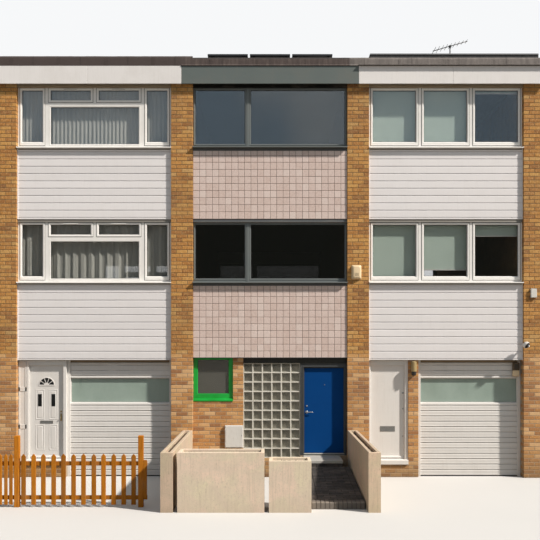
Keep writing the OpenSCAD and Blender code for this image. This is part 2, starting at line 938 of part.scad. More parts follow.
module middle_brickwork() {
  color("#b08050") {
    difference() {
      block([-half, panel_wall_inset, 0], [screen_x, inner_y, tile_foot_z]);
      block([-half - eps, 0, green_z], [-half + green_w, inner_y + eps, green_head + eps]);
    }
    block([screen_x - eps, panel_wall_inset, 0], [middle_door_x, inner_y, screen_foot]);
  }
}

module green_window() {
  x = -half;
  y = panel_wall_inset + green_inset;
  color("#0a8a2c")
    difference() {
      union() {
        block([x, y, green_z], [x + green_w, y + window_d, green_head]);
        block(
          [x, panel_wall_inset - green_sill_out, green_z],
          [x + green_w, y + eps, green_z + green_sill_h]
        );
      }
      block(
        [x + green_rim, y - eps, green_z + green_foot],
        [x + green_w - green_rim, y + green_pocket, green_head - green_top]
      );
    }
}

// Square glass blocks in a grid of joints that lie a little deeper than the blocks
module glass_block_screen() {
  front = panel_wall_inset + 15;
  core_front = front + joint_depth;
  core_back = front + block_t - joint_depth;
  face = block_pitch - block_joint;
  color("#c9d6cf") {
    block([screen_x, core_front, screen_foot], [middle_door_x, core_back, screen_head]);
    for (column = [0 : block_cols - 1], row = [0 : block_rows - 1])
      translate([screen_x + column * block_pitch, front, screen_foot + row * block_pitch])
        translate([block_joint / 2, 0, block_joint / 2]) cube([face, block_t, face]);
  }
}

module steel_lintel() {
  color("#35383a")
    block([screen_x, panel_wall_inset - 20, screen_head], [half, inner_y, tile_foot_z]);
}

// The troughs' inner faces, and the left edges of the planter boxes between them
inner_trough = half + trough_offset;
ramp_left = inner_trough - ramp_side_gap - ramp_w;
small_x = ramp_left - ramp_gap - small_planter_w;
large_x = -inner_trough + planter_gap;
large_right = small_x - planter_gap;

module entrance_landing() {
  color("#b5b2aa")
    block(
      [ramp_left, -landing_out, 0],
      [inner_trough - landing_side_gap, panel_wall_inset, middle_sill_z - middle_sill_h]
    );
}

module entrance_ramp() {
  profile = [
    [ramp_set_back - forecourt, 0], [-landing_out, 0], [-landing_out, ramp_head_z],
    [ramp_set_back - forecourt, ramp_foot_z]
  ];
  color("#6a5a52")
    translate([ramp_left, 0, 0]) rotate([90, 0, 90]) linear_extrude(ramp_w) polygon(profile);
}

// Open-topped box of cast concrete
module planter(x0, x1, y0, y1, h) {
  difference() {
    block([x0, y0, 0], [x1, y1, h]);
    block(
      [x0 + planter_t, y0 + planter_t, h - soil_drop - soil_t],
      [x1 - planter_t, y1 - planter_t, h + eps]
    );
  }
}

module soil(x0, x1, y0, y1, h) {
  block(
    [x0 + planter_t, y0 + planter_t, h - soil_drop - soil_t],
    [x1 - planter_t, y1 - planter_t, h - soil_drop]
  );
}

// Corners of the four planters: left, right, front, rear and height
troughs = [
  [-inner_trough - trough_w, -inner_trough, -forecourt, 0, planter_h],
  [inner_trough, inner_trough + trough_w, -forecourt, 0, planter_h]
];
boxes = [
  [large_x, large_right, -forecourt, -forecourt + planter_d, planter_h],
  [small_x, small_x + small_planter_w, -forecourt, -forecourt + planter_d, small_planter_h]
];

module trough_walls() {
  color("#b9ac98")
    for (p = troughs) planter(p[0], p[1], p[2], p[3], p[4]);
}

module planter_boxes() {
  color("#b9ac98")
    for (p = boxes) planter(p[0], p[1], p[2], p[3], p[4]);
}

module planter_soil() {
  color("#4a3a2c")
    for (p = concat(troughs, boxes)) soil(p[0], p[1], p[2], p[3], p[4]);
}

// Meter box beside the glass blocks; junction box and dome camera on the right end pier
module wall_boxes() {
  junction_x = (row_w - pier_w) / 2 - 30;
  dome_x = house_x[2] + half + 20;
  arm_d = 30;
  color("#e8e6e0") {
    block([screen_x - meter_w, panel_wall_inset - meter_d, meter_z],
      [screen_x, panel_wall_inset, meter_z + meter_h]);
    block([junction_x - junction_w / 2, -junction_d, junction_z],
      [junction_x + junction_w / 2, 0, junction_z + junction_h]);
    translate([dome_x, -dome_out, dome_z]) sphere(d = dome_d, $fn = 48);
    translate([dome_x + arm_d, 0, dome_z]) rotate([90, 0, 0]) {
      cylinder(d = arm_d, h = dome_out);
      cylinder(d = 2 * arm_d, h = arm_d / 2);
    }
  }
}

// Box with sloping edges, as high in front as its depth allows
module alarm_box() {
  slope = 30;
  color("#e8dcc0")
    translate([pitch / 2 - 40, 0, alarm_z])
      hull() {
        block([-alarm_w / 2, -8, 0], [alarm_w / 2, 0, alarm_h]);
        block([slope - alarm_w / 2, -alarm_d, slope], [alarm_w / 2 - slope, 0, alarm_h - slope]);
      }
}

// Wall lamp beside the right door, and the box light in the corner of the garage front
module wall_lamps() {
  lamp_x = narrow_pier_x + brick_l / 2;
  post_y = inner_y - garage_post_d;
  light_x = right_garage[1] - box_light_side;
  color("#e0d4b8") {
    translate([lamp_x, panel_wall_inset - lamp_d / 2, lamp_z]) {
      translate([0, 0, lamp_foot_h]) cylinder(d = lamp_d, h = lamp_h - lamp_foot_h);
      cylinder(d = lamp_d - 20, h = lamp_foot_h + eps);
      block([-lamp_d / 4, 0, 0], [lamp_d / 4, lamp_d / 2, lamp_foot_h]);
    }
    block([light_x - box_light_w, post_y - box_light_d, box_light_z],
      [light_x, post_y, box_light_z + box_light_h]);
  }
}

module solar_panels() {
  first = -(3 * solar_w + 2 * solar_gap) / 2;
  leg = 40;
  color("#20242c")
    for (k = [0 : 2])
      translate([first + k * (solar_w + solar_gap), solar_y, roof_top]) {
        translate([0, 0, solar_lift]) cube([solar_w, solar_l, solar_t]);
        for (x = [60, solar_w - 60 - leg], y = [60, solar_l - 60 - leg])
          translate([x, y, 0]) cube([leg, leg, solar_lift]);
      }
}

module roof_upstand() {
  left = pitch / 2 + 60;
  profile = [[left, 0], [row_w / 2, 0], [row_w / 2, upstand_h], [left + 260, upstand_h]];
  color("#3c3430")
    translate([0, upstand_y + upstand_t, roof_top])
      rotate([90, 0, 0]) linear_extrude(upstand_t) polygon(profile);
}

// Mast and boom with rods that grow longer towards the rear
module tv_aerial() {
  color("#8a8c8e")
    translate([pitch + mast_x, mast_y, roof_top]) {
      cylinder(d = 120, h = 20);
      cylinder(d = mast_d, h = mast_h);
      translate([0, 0, mast_h - boom_d]) rotate([0, 74, 0]) {
        cylinder(d = boom_d, h = boom_l, center = true, $fn = 16);
        for (k = [0 : rods - 1])
          translate([0, 0, (k / (rods - 1) - 0.5) * (boom_l - 50)])
            rotate([90, 0, 0]) cylinder(d = rod_d, h = 420 - 26 * k, center = true, $fn = 12);
      }
    }
}

// Pointed pickets on two rails, with a square post in place of the first, one middle and the last
// Pointed pickets of one width, spread evenly between two posts
module picket_bay(x0, x1, w, step) {
  count = floor((x1 - x0 - w) / step);
  first = (x0 + x1 - w - count * step) / 2;
  shoulder = picket_h - picket_lift - picket_tip;
  picket = [[0, 0], [w, 0], [w, shoulder], [w / 2, picket_h - picket_lift], [0, shoulder]];
  for (k = [0 : count])
    translate([first + k * step, -fence_out, picket_lift])
      rotate([90, 0, 0]) linear_extrude(picket_t) polygon(picket);
}

// Close-set bay, wide bay, and a board on the rails' ends beyond the last post
module picket_fence() {
  first_post = -row_w / 2 + pier_w / 2 + fence_start;
  board_x = -inner_trough - trough_w - fence_end_gap - end_board_w;
  last_post = board_x - post_w;
  middle_post = last_post - fence_bay;
  color("#a8683a") {
    for (x = [first_post, middle_post, last_post])
      translate([x, -fence_out - picket_t, 0]) cube([post_w, post_w, post_h]);
    picket_bay(first_post + post_w, middle_post, close_picket_w, close_pitch);
    picket_bay(middle_post + post_w, last_post, picket_w, picket_pitch);
    translate([board_x, -fence_out - picket_t, end_board_z]) cube([end_board_w, picket_t, end_board_h]);
    for (z = [low_rail_z, high_rail_z])
      translate([first_post, -fence_out, z]) cube([board_x + end_board_w - first_post, rail_t, rail_h]);
  }
}

in_frame() party_walls();
in_frame() ground_floors();
in_frame() first_floors();
in_frame() second_floors();
in_frame() roof_deck();
in_frame() roof_kerbs();
in_frame() fascias_left();
in_frame() fascias_middle();
in_frame() fascias_right();
in_frame() window_head_boards();
in_frame() panel_walls();
in_frame() rear_apron_walls();
in_frame() shiplap_left();
in_frame() shiplap_right();
in_frame() tile_panels();
in_frame() left_upper_window();
in_frame() left_lower_window();
in_frame() middle_upper_window();
in_frame() middle_lower_window();
in_frame() right_upper_window();
in_frame() right_lower_window();
in_frame() rear_white_windows();
in_frame() rear_dark_windows();
in_frame() window_glass();
in_frame() left_door_frame();
in_frame() left_door();
in_frame() middle_door_frame();
in_frame() middle_door();
in_frame() middle_door_handle();
in_frame() right_door_frame();
in_frame() right_door();
in_frame() door_bases();
in_frame() narrow_pier();
in_frame() garage_fronts();
in_frame() garage_glass();
in_frame() middle_brickwork();
in_frame() green_window();
in_frame() glass_block_screen();
in_frame() steel_lintel();
in_frame() entrance_landing();
in_frame() entrance_ramp();
in_frame() trough_walls();
in_frame() planter_boxes();
in_frame() planter_soil();
in_frame() wall_boxes();
in_frame() alarm_box();
in_frame() wall_lamps();
in_frame() solar_panels();
in_frame() roof_upstand();
in_frame() tv_aerial();
in_frame() picket_fence();
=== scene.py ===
"""Looks of the terraced house row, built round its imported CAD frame.

Lengths are in metres in the row's frame: X along the street, Y into the houses, Z up.
Details of a wall are placed by their depth behind the face of the brick piers, so one
function dresses both the front wall and the rear wall.
"""

import math
import random
from itertools import product

import bpy
import numpy as np
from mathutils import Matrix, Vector


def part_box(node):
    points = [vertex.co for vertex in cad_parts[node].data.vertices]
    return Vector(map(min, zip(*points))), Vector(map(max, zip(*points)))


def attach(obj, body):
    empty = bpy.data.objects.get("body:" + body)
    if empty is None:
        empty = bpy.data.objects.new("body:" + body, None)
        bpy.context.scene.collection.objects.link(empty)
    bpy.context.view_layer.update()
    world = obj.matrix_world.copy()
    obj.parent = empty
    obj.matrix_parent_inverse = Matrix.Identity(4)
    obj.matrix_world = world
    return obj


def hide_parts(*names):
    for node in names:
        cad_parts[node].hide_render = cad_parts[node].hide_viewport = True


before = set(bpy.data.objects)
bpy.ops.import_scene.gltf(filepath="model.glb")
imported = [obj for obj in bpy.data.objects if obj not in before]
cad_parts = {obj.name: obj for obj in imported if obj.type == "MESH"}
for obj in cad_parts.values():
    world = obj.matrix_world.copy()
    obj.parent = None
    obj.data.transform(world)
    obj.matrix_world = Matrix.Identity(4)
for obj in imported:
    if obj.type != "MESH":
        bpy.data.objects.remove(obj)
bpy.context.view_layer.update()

# Driving sizes, taken from the frame
walls_low, walls_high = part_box("party_walls")
FACE, WALL_DEEP = walls_low.y, walls_high.y - walls_low.y
ROW_X, WALL_TOP = walls_high.x, walls_high.z
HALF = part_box("middle_lower_window")[1].x
PIER = (2 * ROW_X - 6 * HALF) / 4
PITCH = 2 * HALF + PIER
HOUSES = {"left": -PITCH, "middle": 0.0, "right": PITCH}
COURSE, JOINT = 0.0805, 0.011
BRICK_L = (PIER - JOINT) / 2
BRICK_W = (BRICK_L - JOINT) / 2
MORTAR_IN = 0.005


def span(node):
    """Box of a CAD node as x0, x1, its near and far depth behind the pier faces, z0 and z1."""
    low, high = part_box(node)
    return low.x, high.x, low.y - FACE, high.y - FACE, low.z, high.z


def area(profile):
    """Twice the signed area of a closed profile."""
    return sum(p[0] * q[1] - q[0] * p[1] for p, q in zip(profile, profile[1:] + profile[:1]))


def grid(rows, n, closed=False, flip=False):
    """Faces between rows of n points. Closed joins the ends of each row, flip turns the faces over."""
    faces = []
    for k, i in product(range(rows - 1), range(n if closed else n - 1)):
        a, b = k * n + i, k * n + (i + 1) % n
        faces.append([a, a + n, b + n, b] if flip else [a, b, b + n, a + n])
    return faces


def box_template():
    """Corners and outward faces of a chamfered box, worked out once."""
    octants = list(product((-1, 1), repeat=3))
    side = np.array([signs for signs in octants for _ in range(3)], float)
    shrink = np.array([[k != axis for k in range(3)] for _ in octants for axis in range(3)], float)
    faces = []
    for axis in range(3):
        p, q = (k for k in range(3) if k != axis)

        def corner(s, sp, sq, near):
            signs = {axis: s, p: sp, q: sq}
            return 3 * octants.index(tuple(signs[k] for k in range(3))) + near

        faces += [[corner(s, sp, sq, axis) for sp, sq in ((-1, -1), (1, -1), (1, 1), (-1, 1))] for s in (-1, 1)]
        faces += [[corner(s, sp, sq, near) for s, near in ((-1, p), (1, p), (1, q), (-1, q))]
                  for sp, sq in product((-1, 1), repeat=2)]
    faces += [[3 * k, 3 * k + 1, 3 * k + 2] for k in range(8)]
    spots = side - side * shrink * 0.2
    for face in faces:
        a, b, c = spots[face[:3]]
        if np.dot(np.cross(b - a, c - a), spots[face].mean(0)) <= 0:
            face.reverse()
    return side, shrink, faces


BOX_SIDE, BOX_SHRINK, BOX_FACES = box_template()


class Shape:
    """Collects the faces of one piece. Each face has a tone for its material, and a part number."""

    def __init__(self, rear=False):
        self.points, self.faces, self.tones, self.parts = [], [], [], []
        self.rear = rear

    def add(self, points, faces, tone=0.5, part=0):
        """Adds points (x, depth, z) with faces whose corners run anticlockwise seen from outside."""
        base = len(self.points)
        sign = -1 if self.rear else 1
        self.points += [(x, sign * (FACE + d), z) for x, d, z in points]
        self.faces += [[i + base for i in (face[::-1] if self.rear else face)] for face in faces]
        self.tones += [tone] * len(faces)
        self.parts += [part] * len(faces)

    def box(self, a, b, r=0.002, tone=0.5, part=0):
        """Box between two corners with chamfered edges."""
        a, b = np.minimum(a, b), np.maximum(a, b)
        r = min(r, 0.45 * float((b - a).min()))
        corners = np.where(BOX_SIDE > 0, b, a) - BOX_SIDE * BOX_SHRINK * r
        self.add(corners.tolist(), BOX_FACES, tone, part)

    def prism(self, profile, x0, x1, tone=0.5, part=0):
        """Profile of (depth, z) points, drawn out along X."""
        n = len(profile)
        if area(profile) < 0:
            profile = profile[::-1]
        faces = [[(i + 1) % n + n, i + n, i, (i + 1) % n] for i in range(n)]
        faces += [list(range(n))[::-1], [i + n for i in range(n)]]
        self.add([(x, d, z) for x in (x0, x1) for d, z in profile], faces, tone, part)

    def ring(self, rect, profile, tone=0.5, part=0, closed=True):
        """Mitred ring round rect (x0, z0, x1, z1): profile points are (distance outwards, depth)."""
        x0, z0, x1, z1 = rect
        points = [(x, d, z) for o, d in profile
                  for x, z in ((x0 - o, z0 - o), (x1 + o, z0 - o), (x1 + o, z1 + o), (x0 - o, z1 + o))]
        n, faces = len(profile), []
        for k, i in product(range(n if closed else n - 1), range(4)):
            m, j = (k + 1) % n, (i + 1) % 4
            quad = [4 * k + i, 4 * k + j, 4 * m + j, 4 * m + i]
            faces.append(quad if area(profile) < 0 else quad[::-1])
        self.add(points, faces, tone, part)

    def turned(self, centre, axis, profile, sides=24, tone=0.5, part=0):
        """Solid of revolution: profile points are (distance along axis, radius)."""
        axis = Vector(axis).normalized()
        u = axis.orthogonal().normalized()
        v = axis.cross(u)
        points = []
        for (t, r), k in product(profile, range(sides)):
            turn = 2 * math.pi * k / sides
            points.append(Vector(centre) + axis * t + (u * math.cos(turn) + v * math.sin(turn)) * max(r, 1e-5))
        last = (len(profile) - 1) * sides
        caps = [list(range(sides))[::-1], [last + k for k in range(sides)]]
        self.add(points, grid(len(profile), sides, True) + caps, tone, part)

    def pad(self, start, along, up, out, w, h, steps, tone, part=0):
        """Raised pad on a face: steps are (inset from the edge, rise) from its foot to its top."""
        start, along, up, out = map(Vector, (start, along, up, out))
        points = [start + along * a + up * u + out * rise for inset, rise in steps
                  for a, u in ((inset, inset), (w - inset, inset), (w - inset, h - inset), (inset, h - inset))]
        last = 4 * (len(steps) - 1)
        self.add(points, grid(len(steps), 4, True) + [[last, last + 1, last + 2, last + 3]], tone, part)

    def piece(self, name, looks, body="row", slot=None, node=None, smooth=0.0):
        """Makes the object on its body. With a slot it stands for a CAD node, by default the one of its own name."""
        mesh = bpy.data.meshes.new(name)
        mesh.from_pydata(self.points, [], self.faces)
        mesh.attributes.new("tone", "FLOAT", "FACE").data.foreach_set("value", self.tones)
        for look in looks if isinstance(looks, list) else [looks]:
            mesh.materials.append(look)
        mesh.polygons.foreach_set("material_index", self.parts)
        mesh.update()
        thing = bpy.data.objects.new(name, mesh)
        bpy.context.scene.collection.objects.link(thing)
        if smooth:
            mesh.polygons.foreach_set("use_smooth", [True] * len(mesh.polygons))
            mesh.set_sharp_from_angle(angle=math.radians(smooth))
        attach(thing, body)
        if slot:
            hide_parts(node or name.lower())
        return thing


def dim(colour, share):
    return tuple(c * share for c in colour)


class Nodes:
    """A node tree. The methods add nodes and return their sockets, which later ones take."""

    def __init__(self, tree, place):
        self.tree = tree
        self.place = self.add("TexCoord", {}, place)

    def put(self, socket, value):
        if isinstance(value, bpy.types.NodeSocket):
            self.tree.links.new(value, socket)
        elif isinstance(value, (tuple, list)) and len(value) == 3 and socket.type == "RGBA":
            socket.default_value = (*value, 1)
        else:
            socket.default_value = value

    def add(self, kind, inputs, out=0, **settings):
        """One output of a new node. Inputs gives sockets or values by the name or number of the input."""
        node = self.tree.nodes.new("ShaderNode" + kind)
        for key, value in settings.items():
            setattr(node, key, value)
        for key, value in inputs.items():
            self.put(node.inputs[key], value)
        return node.outputs[out]

    def stretched(self, x, y, z):
        """The place in the piece, with each axis scaled."""
        return self.add("Mapping", {"Vector": self.place, "Scale": (x, y, z)})

    def noise(self, scale, detail=3.0, rough=0.55, where=None, warp=0.0):
        return self.add("TexNoise", {"Vector": where or self.place, "Scale": scale, "Detail": detail,
                                     "Roughness": rough, "Distortion": warp}, "Fac")

    def cells(self, scale, where=None, out="Distance"):
        return self.add("TexVoronoi", {"Vector": where or self.place, "Scale": scale}, out)

    def ramp(self, value, *stops):
        """Colour or grey ramp; each stop is (position, grey or colour)."""
        node = self.tree.nodes.new("ShaderNodeValToRGB")
        self.put(node.inputs["Fac"], value)
        elements = node.color_ramp.elements
        while len(elements) < len(stops):
            elements.new(0.5)
        for element, (at, _) in zip(elements, stops):
            element.position = at
        for element, (_, shade) in zip(elements, stops):
            element.color = (*(shade if isinstance(shade, tuple) else (shade,) * 3), 1)
        return node.outputs["Color"]

    def mix(self, share, a, b, blend="MIX", clamp=True):
        return self.add("Mix", {0: share, 6: a, 7: b}, 2, data_type="RGBA", blend_type=blend, clamp_result=clamp)

    def sums(self, operation, a, b=0.0):
        return self.add("Math", {0: a, 1: b}, operation=operation)

    def times(self, a, b):
        return self.sums("MULTIPLY", a, b)

    def axis(self, name, where=None):
        return self.add("SeparateXYZ", {0: where or self.place}, name)

    def fade(self, value, low, high):
        """0 where value is at or below low, 1 at or above high."""
        return self.add("MapRange", {"Value": value, "From Min": low, "From Max": high}, "Result")

    def layers(self, base, *layers):
        """Base under layers of (colour, value, low, high) or, where the colour never covers it, with a share."""
        for colour, value, low, high, *share in layers:
            cover = self.fade(value, low, high)
            base = self.mix(self.times(cover, *share) if share else cover, base, colour)
        return base

    def seen(self):
        """1 for what the camera sees, also through glass."""
        rays = (self.add("LightPath", {}, f"Is {kind} Ray") for kind in ("Camera", "Transmission"))
        return self.sums("MAXIMUM", *rays)

    def bump(self, height, distance, strength=1.0, under=None):
        inputs = {"Height": height, "Distance": distance, "Strength": strength}
        return self.add("Bump", inputs if under is None else {**inputs, "Normal": under}, "Normal")


class Paint(Nodes):
    """A node-based material."""

    def __init__(self, name, **values):
        self.material = bpy.data.materials.new(name)
        self.material.use_nodes = True
        super().__init__(self.material.node_tree, "Object")
        self.shader = next(n for n in self.tree.nodes if n.type == "BSDF_PRINCIPLED").inputs
        for key, value in values.items():
            self.shader[key.replace("_", " ")].default_value = value
        self.tone = self.add("Attribute", {}, "Fac", attribute_name="tone")

    def done(self, colour, roughness=None, normal=None):
        for key, value in (("Base Color", colour), ("Roughness", roughness), ("Normal", normal)):
            if value is not None:
                self.put(self.shader[key], value)
        return self.material


# Paints

GROUND_STOREY = (2.63, 2.50)


def brick_paint():
    p = Paint("stock_brick", Roughness=0.9)
    base = p.ramp(
        p.tone, (0.0, (0.27, 0.115, 0.032)), (0.08, (0.355, 0.150, 0.036)), (0.26, (0.44, 0.194, 0.044)),
        (0.50, (0.50, 0.234, 0.055)), (0.74, (0.555, 0.276, 0.068)), (0.92, (0.585, 0.32, 0.092)),
        (1.0, (0.56, 0.345, 0.135)))
    blotch, dragged = p.noise(16, 4, 0.6), p.noise(46, 4, 0.7, p.stretched(1.7, 1.0, 0.55))
    base = p.layers(
        base, ((0.62, 0.38, 0.16), blotch, 0.50, 0.75, 0.6),
        ((0.20, 0.085, 0.035), p.noise(31, 3, 0.6), 0.56, 0.80, 0.55),
        ((0.74, 0.46, 0.205), dragged, 0.53, 0.66, 0.55), ((0.25, 0.10, 0.030), dragged, 0.47, 0.36, 0.60),
        ((0.16, 0.07, 0.03), p.cells(260), 0.20, 0.06),
        ((0.13, 0.095, 0.065), p.noise(0.9, 4, 0.6), 0.45, 0.75, 0.38),
        ((0.58, 0.31, 0.15), p.axis("Z"), *GROUND_STOREY, 0.28))
    ground = p.fade(p.axis("Z"), *GROUND_STOREY)
    for colour, ends in (((0.74, 0.49, 0.27), (0.62, 0.95)), ((0.28, 0.125, 0.055), (0.36, 0.05))):
        base = p.mix(p.times(p.times(ground, p.fade(p.tone, *ends)), 0.5), base, colour)
    base = p.layers(base, ((0.12, 0.10, 0.065), p.axis("Z"), 0.55, 0.0, 0.45))
    grain = p.noise(210, 4, 0.65)
    normal = p.bump(blotch, 0.006, 0.6, p.bump(grain, 0.0022, 0.8))
    return p.done(base, p.ramp(grain, (0.3, 0.82), (0.7, 0.96)), normal)


def mortar_paint():
    p = Paint("mortar", Roughness=0.95)
    tint = p.ramp(p.noise(7, 4, 0.6), (0.3, (0.19, 0.115, 0.050)), (0.7, (0.295, 0.19, 0.088)))
    tint = p.layers(tint, ((0.20, 0.135, 0.070), p.noise(1.1, 3), 0.45, 0.75),
                    ((0.56, 0.45, 0.34), p.axis("Z"), *GROUND_STOREY, 0.45))
    return p.done(tint, None, p.bump(p.noise(330, 3, 0.7), 0.002, 0.9))


def board_paint(name, colour, dirt, streaks, grime, gloss=0.42, shine=0.5):
    """Smooth painted or plastic boards: faint rain streaks, grime and a slight waviness."""
    p = Paint(name, Roughness=gloss, Specular_IOR_Level=shine)
    rain, patch = p.noise(5, 5, 0.6, p.stretched(7, 7, 0.5)), p.noise(1.7, 5, 0.65)
    specks = p.fade(p.cells(70), 0.10, 0.03)
    base = p.layers(p.mix(p.tone, dim(colour, 0.93), colour), (dirt, rain, 0.52, 0.80, streaks),
                    (dirt, patch, 0.50, 0.82, grime))
    base = p.mix(p.times(specks, 0.35), base, dirt)
    wave = p.bump(p.noise(3.2, 2, 0.5, p.stretched(0.5, 1, 1)), 0.01, 0.35)
    normal = p.bump(p.noise(420, 2), 0.0004, 0.5, wave)
    return p.done(base, p.ramp(patch, (0.3, gloss - 0.06), (0.7, gloss + 0.16)), normal)


def tile_paint():
    p = Paint("pink_tile", Roughness=0.28, Coat_Weight=0.25, Coat_Roughness=0.15)
    base = p.ramp(p.tone, (0.0, (0.62, 0.485, 0.435)), (0.35, (0.65, 0.52, 0.475)), (0.75, (0.68, 0.55, 0.505)),
                  (1.0, (0.715, 0.60, 0.555)))
    cloud, pits = p.noise(22, 5, 0.65), p.fade(p.cells(310), 0.16, 0.05)
    base = p.layers(base, ((0.72, 0.62, 0.57), cloud, 0.42, 0.78, 0.6),
                    ((0.42, 0.27, 0.22), p.noise(60, 4, 0.7), 0.55, 0.75, 0.40))
    base = p.mix(p.times(pits, 0.55), base, (0.30, 0.19, 0.155))
    normal = p.bump(pits, 0.0008, 0.6, p.bump(cloud, 0.004, 0.5))
    return p.done(base, p.ramp(cloud, (0.3, 0.22), (0.8, 0.42)), normal)


def sandy_paint(name, rough, cloud, dark, light, grain, bump):
    """Grout and jointing sand: two shades in clouds, with grains."""
    p = Paint(name, Roughness=rough)
    return p.done(p.ramp(p.noise(*cloud), (0.3, dark), (0.7, light)), None, p.bump(p.noise(*grain), bump, 0.8))


def frame_paint(name, colour, dirt, gloss, metal, age):
    """Window and door profiles: nearly plain, with dirt in streaks and a soft sheen."""
    p = Paint(name, Roughness=gloss, Metallic=metal, Coat_Weight=0.15, Coat_Roughness=0.2)
    patch, rain = p.noise(2.6, 5, 0.6), p.noise(9, 4, 0.6, p.stretched(6, 6, 0.7))
    base = p.layers(p.mix(p.tone, dim(colour, 0.9), colour), (dirt, patch, 0.45, 0.8, age),
                    (dirt, rain, 0.55, 0.8, age))
    rough = p.ramp(patch, (0.3, gloss - 0.05), (0.7, gloss + 0.15))
    return p.done(base, rough, p.bump(p.noise(520, 2), 0.0003, 0.4))


def plain_paint(name, colour, gloss, metal=0.0, spread=0.12):
    """Small plain parts, with a little mottling."""
    p = Paint(name, Roughness=gloss, Metallic=metal)
    cloud = p.noise(30, 4, 0.6)
    base = p.mix(p.fade(cloud, 0.35, 0.70), dim(colour, 1 - spread * 2), colour)
    return p.done(base, p.ramp(cloud, (0.3, gloss), (0.7, min(1.0, gloss + 0.12))), p.bump(cloud, 0.0012, 0.4))


def glass_paint(name, mirror, cover, gloss=0.02):
    """Panes, a little wavy and dusty: each face mirrors a share of what it faces and lets the rest through."""
    p = Paint(name, Roughness=gloss, Metallic=1.0, Alpha=cover)
    film = p.noise(3.0, 5, 0.65, p.stretched(2, 2, 0.6))
    base = p.mix(p.noise(0.8, 3), dim(mirror, 0.85), mirror)
    return p.done(base, p.ramp(film, (0.4, gloss), (0.8, gloss + 0.05)), p.bump(p.noise(1.4, 1), 0.003, 0.2))


def concrete_paint(name, light, dark, stain, pores=0.5, bottom=0.4, front=None):
    """Cast concrete: cloudy, with air holes, rain stains from the rim and a damp foot. With front, painted shade
    darkens all but the right trough's front end, which keeps its lighter colour as painted light.
    """
    p = Paint(name, Roughness=0.88)
    cloud, sand = p.noise(2.4, 6, 0.62, None, 0.6), p.noise(380, 3, 0.7)
    rosy, mossy = (tuple(c * k for c, k in zip(light, tint)) for tint in ((1.10, 0.985, 0.985), (0.95, 1.00, 0.90)))
    light = p.mix(p.fade(p.noise(2.1, 4, 0.6, None, 0.5), 0.43, 0.57), mossy, rosy)
    base = p.layers(
        p.mix(p.fade(cloud, 0.30, 0.72), dark, light), (dark, p.noise(9, 5, 0.65), 0.50, 0.78, 0.35),
        (stain, p.noise(4, 5, 0.62, p.stretched(4.5, 4.5, 0.45)), 0.54, 0.82, 0.34),
        (dark, p.noise(25, 5, 0.75), 0.48, 0.66, 0.75), (stain, p.noise(55, 3, 0.7), 0.55, 0.68, 0.55),
        (stain, p.noise(1, 4, 0.65, p.stretched(42, 42, 2.4)), 0.50, 0.70, 0.46))
    dints = p.times(p.fade(p.cells(1, p.stretched(21, 21, 9)), 0.24, 0.12), p.fade(p.noise(3.3, 3), 0.46, 0.60))
    base = p.mix(p.times(dints, 0.55), base, stain)
    if front is not None:
        # Painted shade: faces more than 2 cm behind the front end, and the whole left trough, are multiplied darker;
        # the right trough's front end is left lighter as painted light.
        behind, left = p.fade(p.axis("Y"), front + 0.002, front + 0.02), p.fade(p.axis("X"), 0.05, -0.05)
        painted_shade = p.sums("MAXIMUM", behind, left)
        base = p.mix(painted_shade, base, p.mix(1.0, base, (0.80, 0.81, 0.83), "MULTIPLY"))
    foot = p.sums("ADD", p.axis("Z"), p.times(p.noise(3.1, 4), 0.35))
    base = p.layers(base, (stain, foot, 0.42, 0.12, bottom))
    holes = p.times(p.fade(p.cells(42), 0.11, 0.04), p.fade(p.noise(7, 2), 0.46, 0.56))
    base = p.mix(p.times(holes, pores), base, (0.09, 0.075, 0.055))
    base = p.layers(base, (dark, sand, 0.45, 0.75, 0.22))
    normal = p.bump(p.times(holes, -1.0), 0.004, 0.8, p.bump(sand, 0.0012, 0.7))
    return p.done(base, p.ramp(cloud, (0.3, 0.80), (0.7, 0.95)), p.bump(cloud, 0.006, 0.4, normal))


def felt_paint(name, colour, seam, streak, faded=None):
    """Mineral felt: chippings, laps and weathered streaks. With faded it is darker on the left, paler on the right."""
    p = Paint(name, Roughness=0.93)
    grit = p.axis("X", p.cells(420, None, "Color"))
    rain = p.noise(3, 5, 0.65, p.stretched(6.5, 2.0, 0.6))
    base = p.layers(p.mix(p.fade(grit, 0.1, 0.9), dim(colour, 0.72), colour), (streak, rain, 0.47, 0.75),
                    (dim(colour, 0.55), p.noise(1.2, 4), 0.5, 0.8, 0.5))
    if faded:
        base = p.mix(p.fade(p.axis("X"), -HALF - 0.25, -HALF - 0.22), dim(colour, 0.84), base)
        crest = p.times(p.fade(p.axis("Z"), 8.685, 8.705), p.fade(p.axis("X"), -HALF - 0.02, -HALF))
        base = p.mix(p.times(crest, 0.6), base, (0.02, 0.018, 0.017))
        crease = p.noise(7, 4, 0.6, p.stretched(2.5, 1.0, 0.5))
        newer = p.mix(p.fade(crease, 0.4, 0.7), dim(faded, 0.8), dim(faded, 1.15))
        base = p.layers(base, (newer, p.axis("X"), HALF + 0.02, HALF + 0.06))
    lap = p.sums("FRACT", p.times(p.axis("X"), 1 / seam))
    base = p.layers(base, (dim(colour, 0.35), lap, 0.985, 1.0, 0.8))
    normal = p.bump(p.fade(lap, 0.97, 1.0), 0.004, 0.8, p.bump(grit, 0.0012, 0.8))
    return p.done(base, None, p.bump(p.noise(5, 4), 0.012, 0.6, normal))


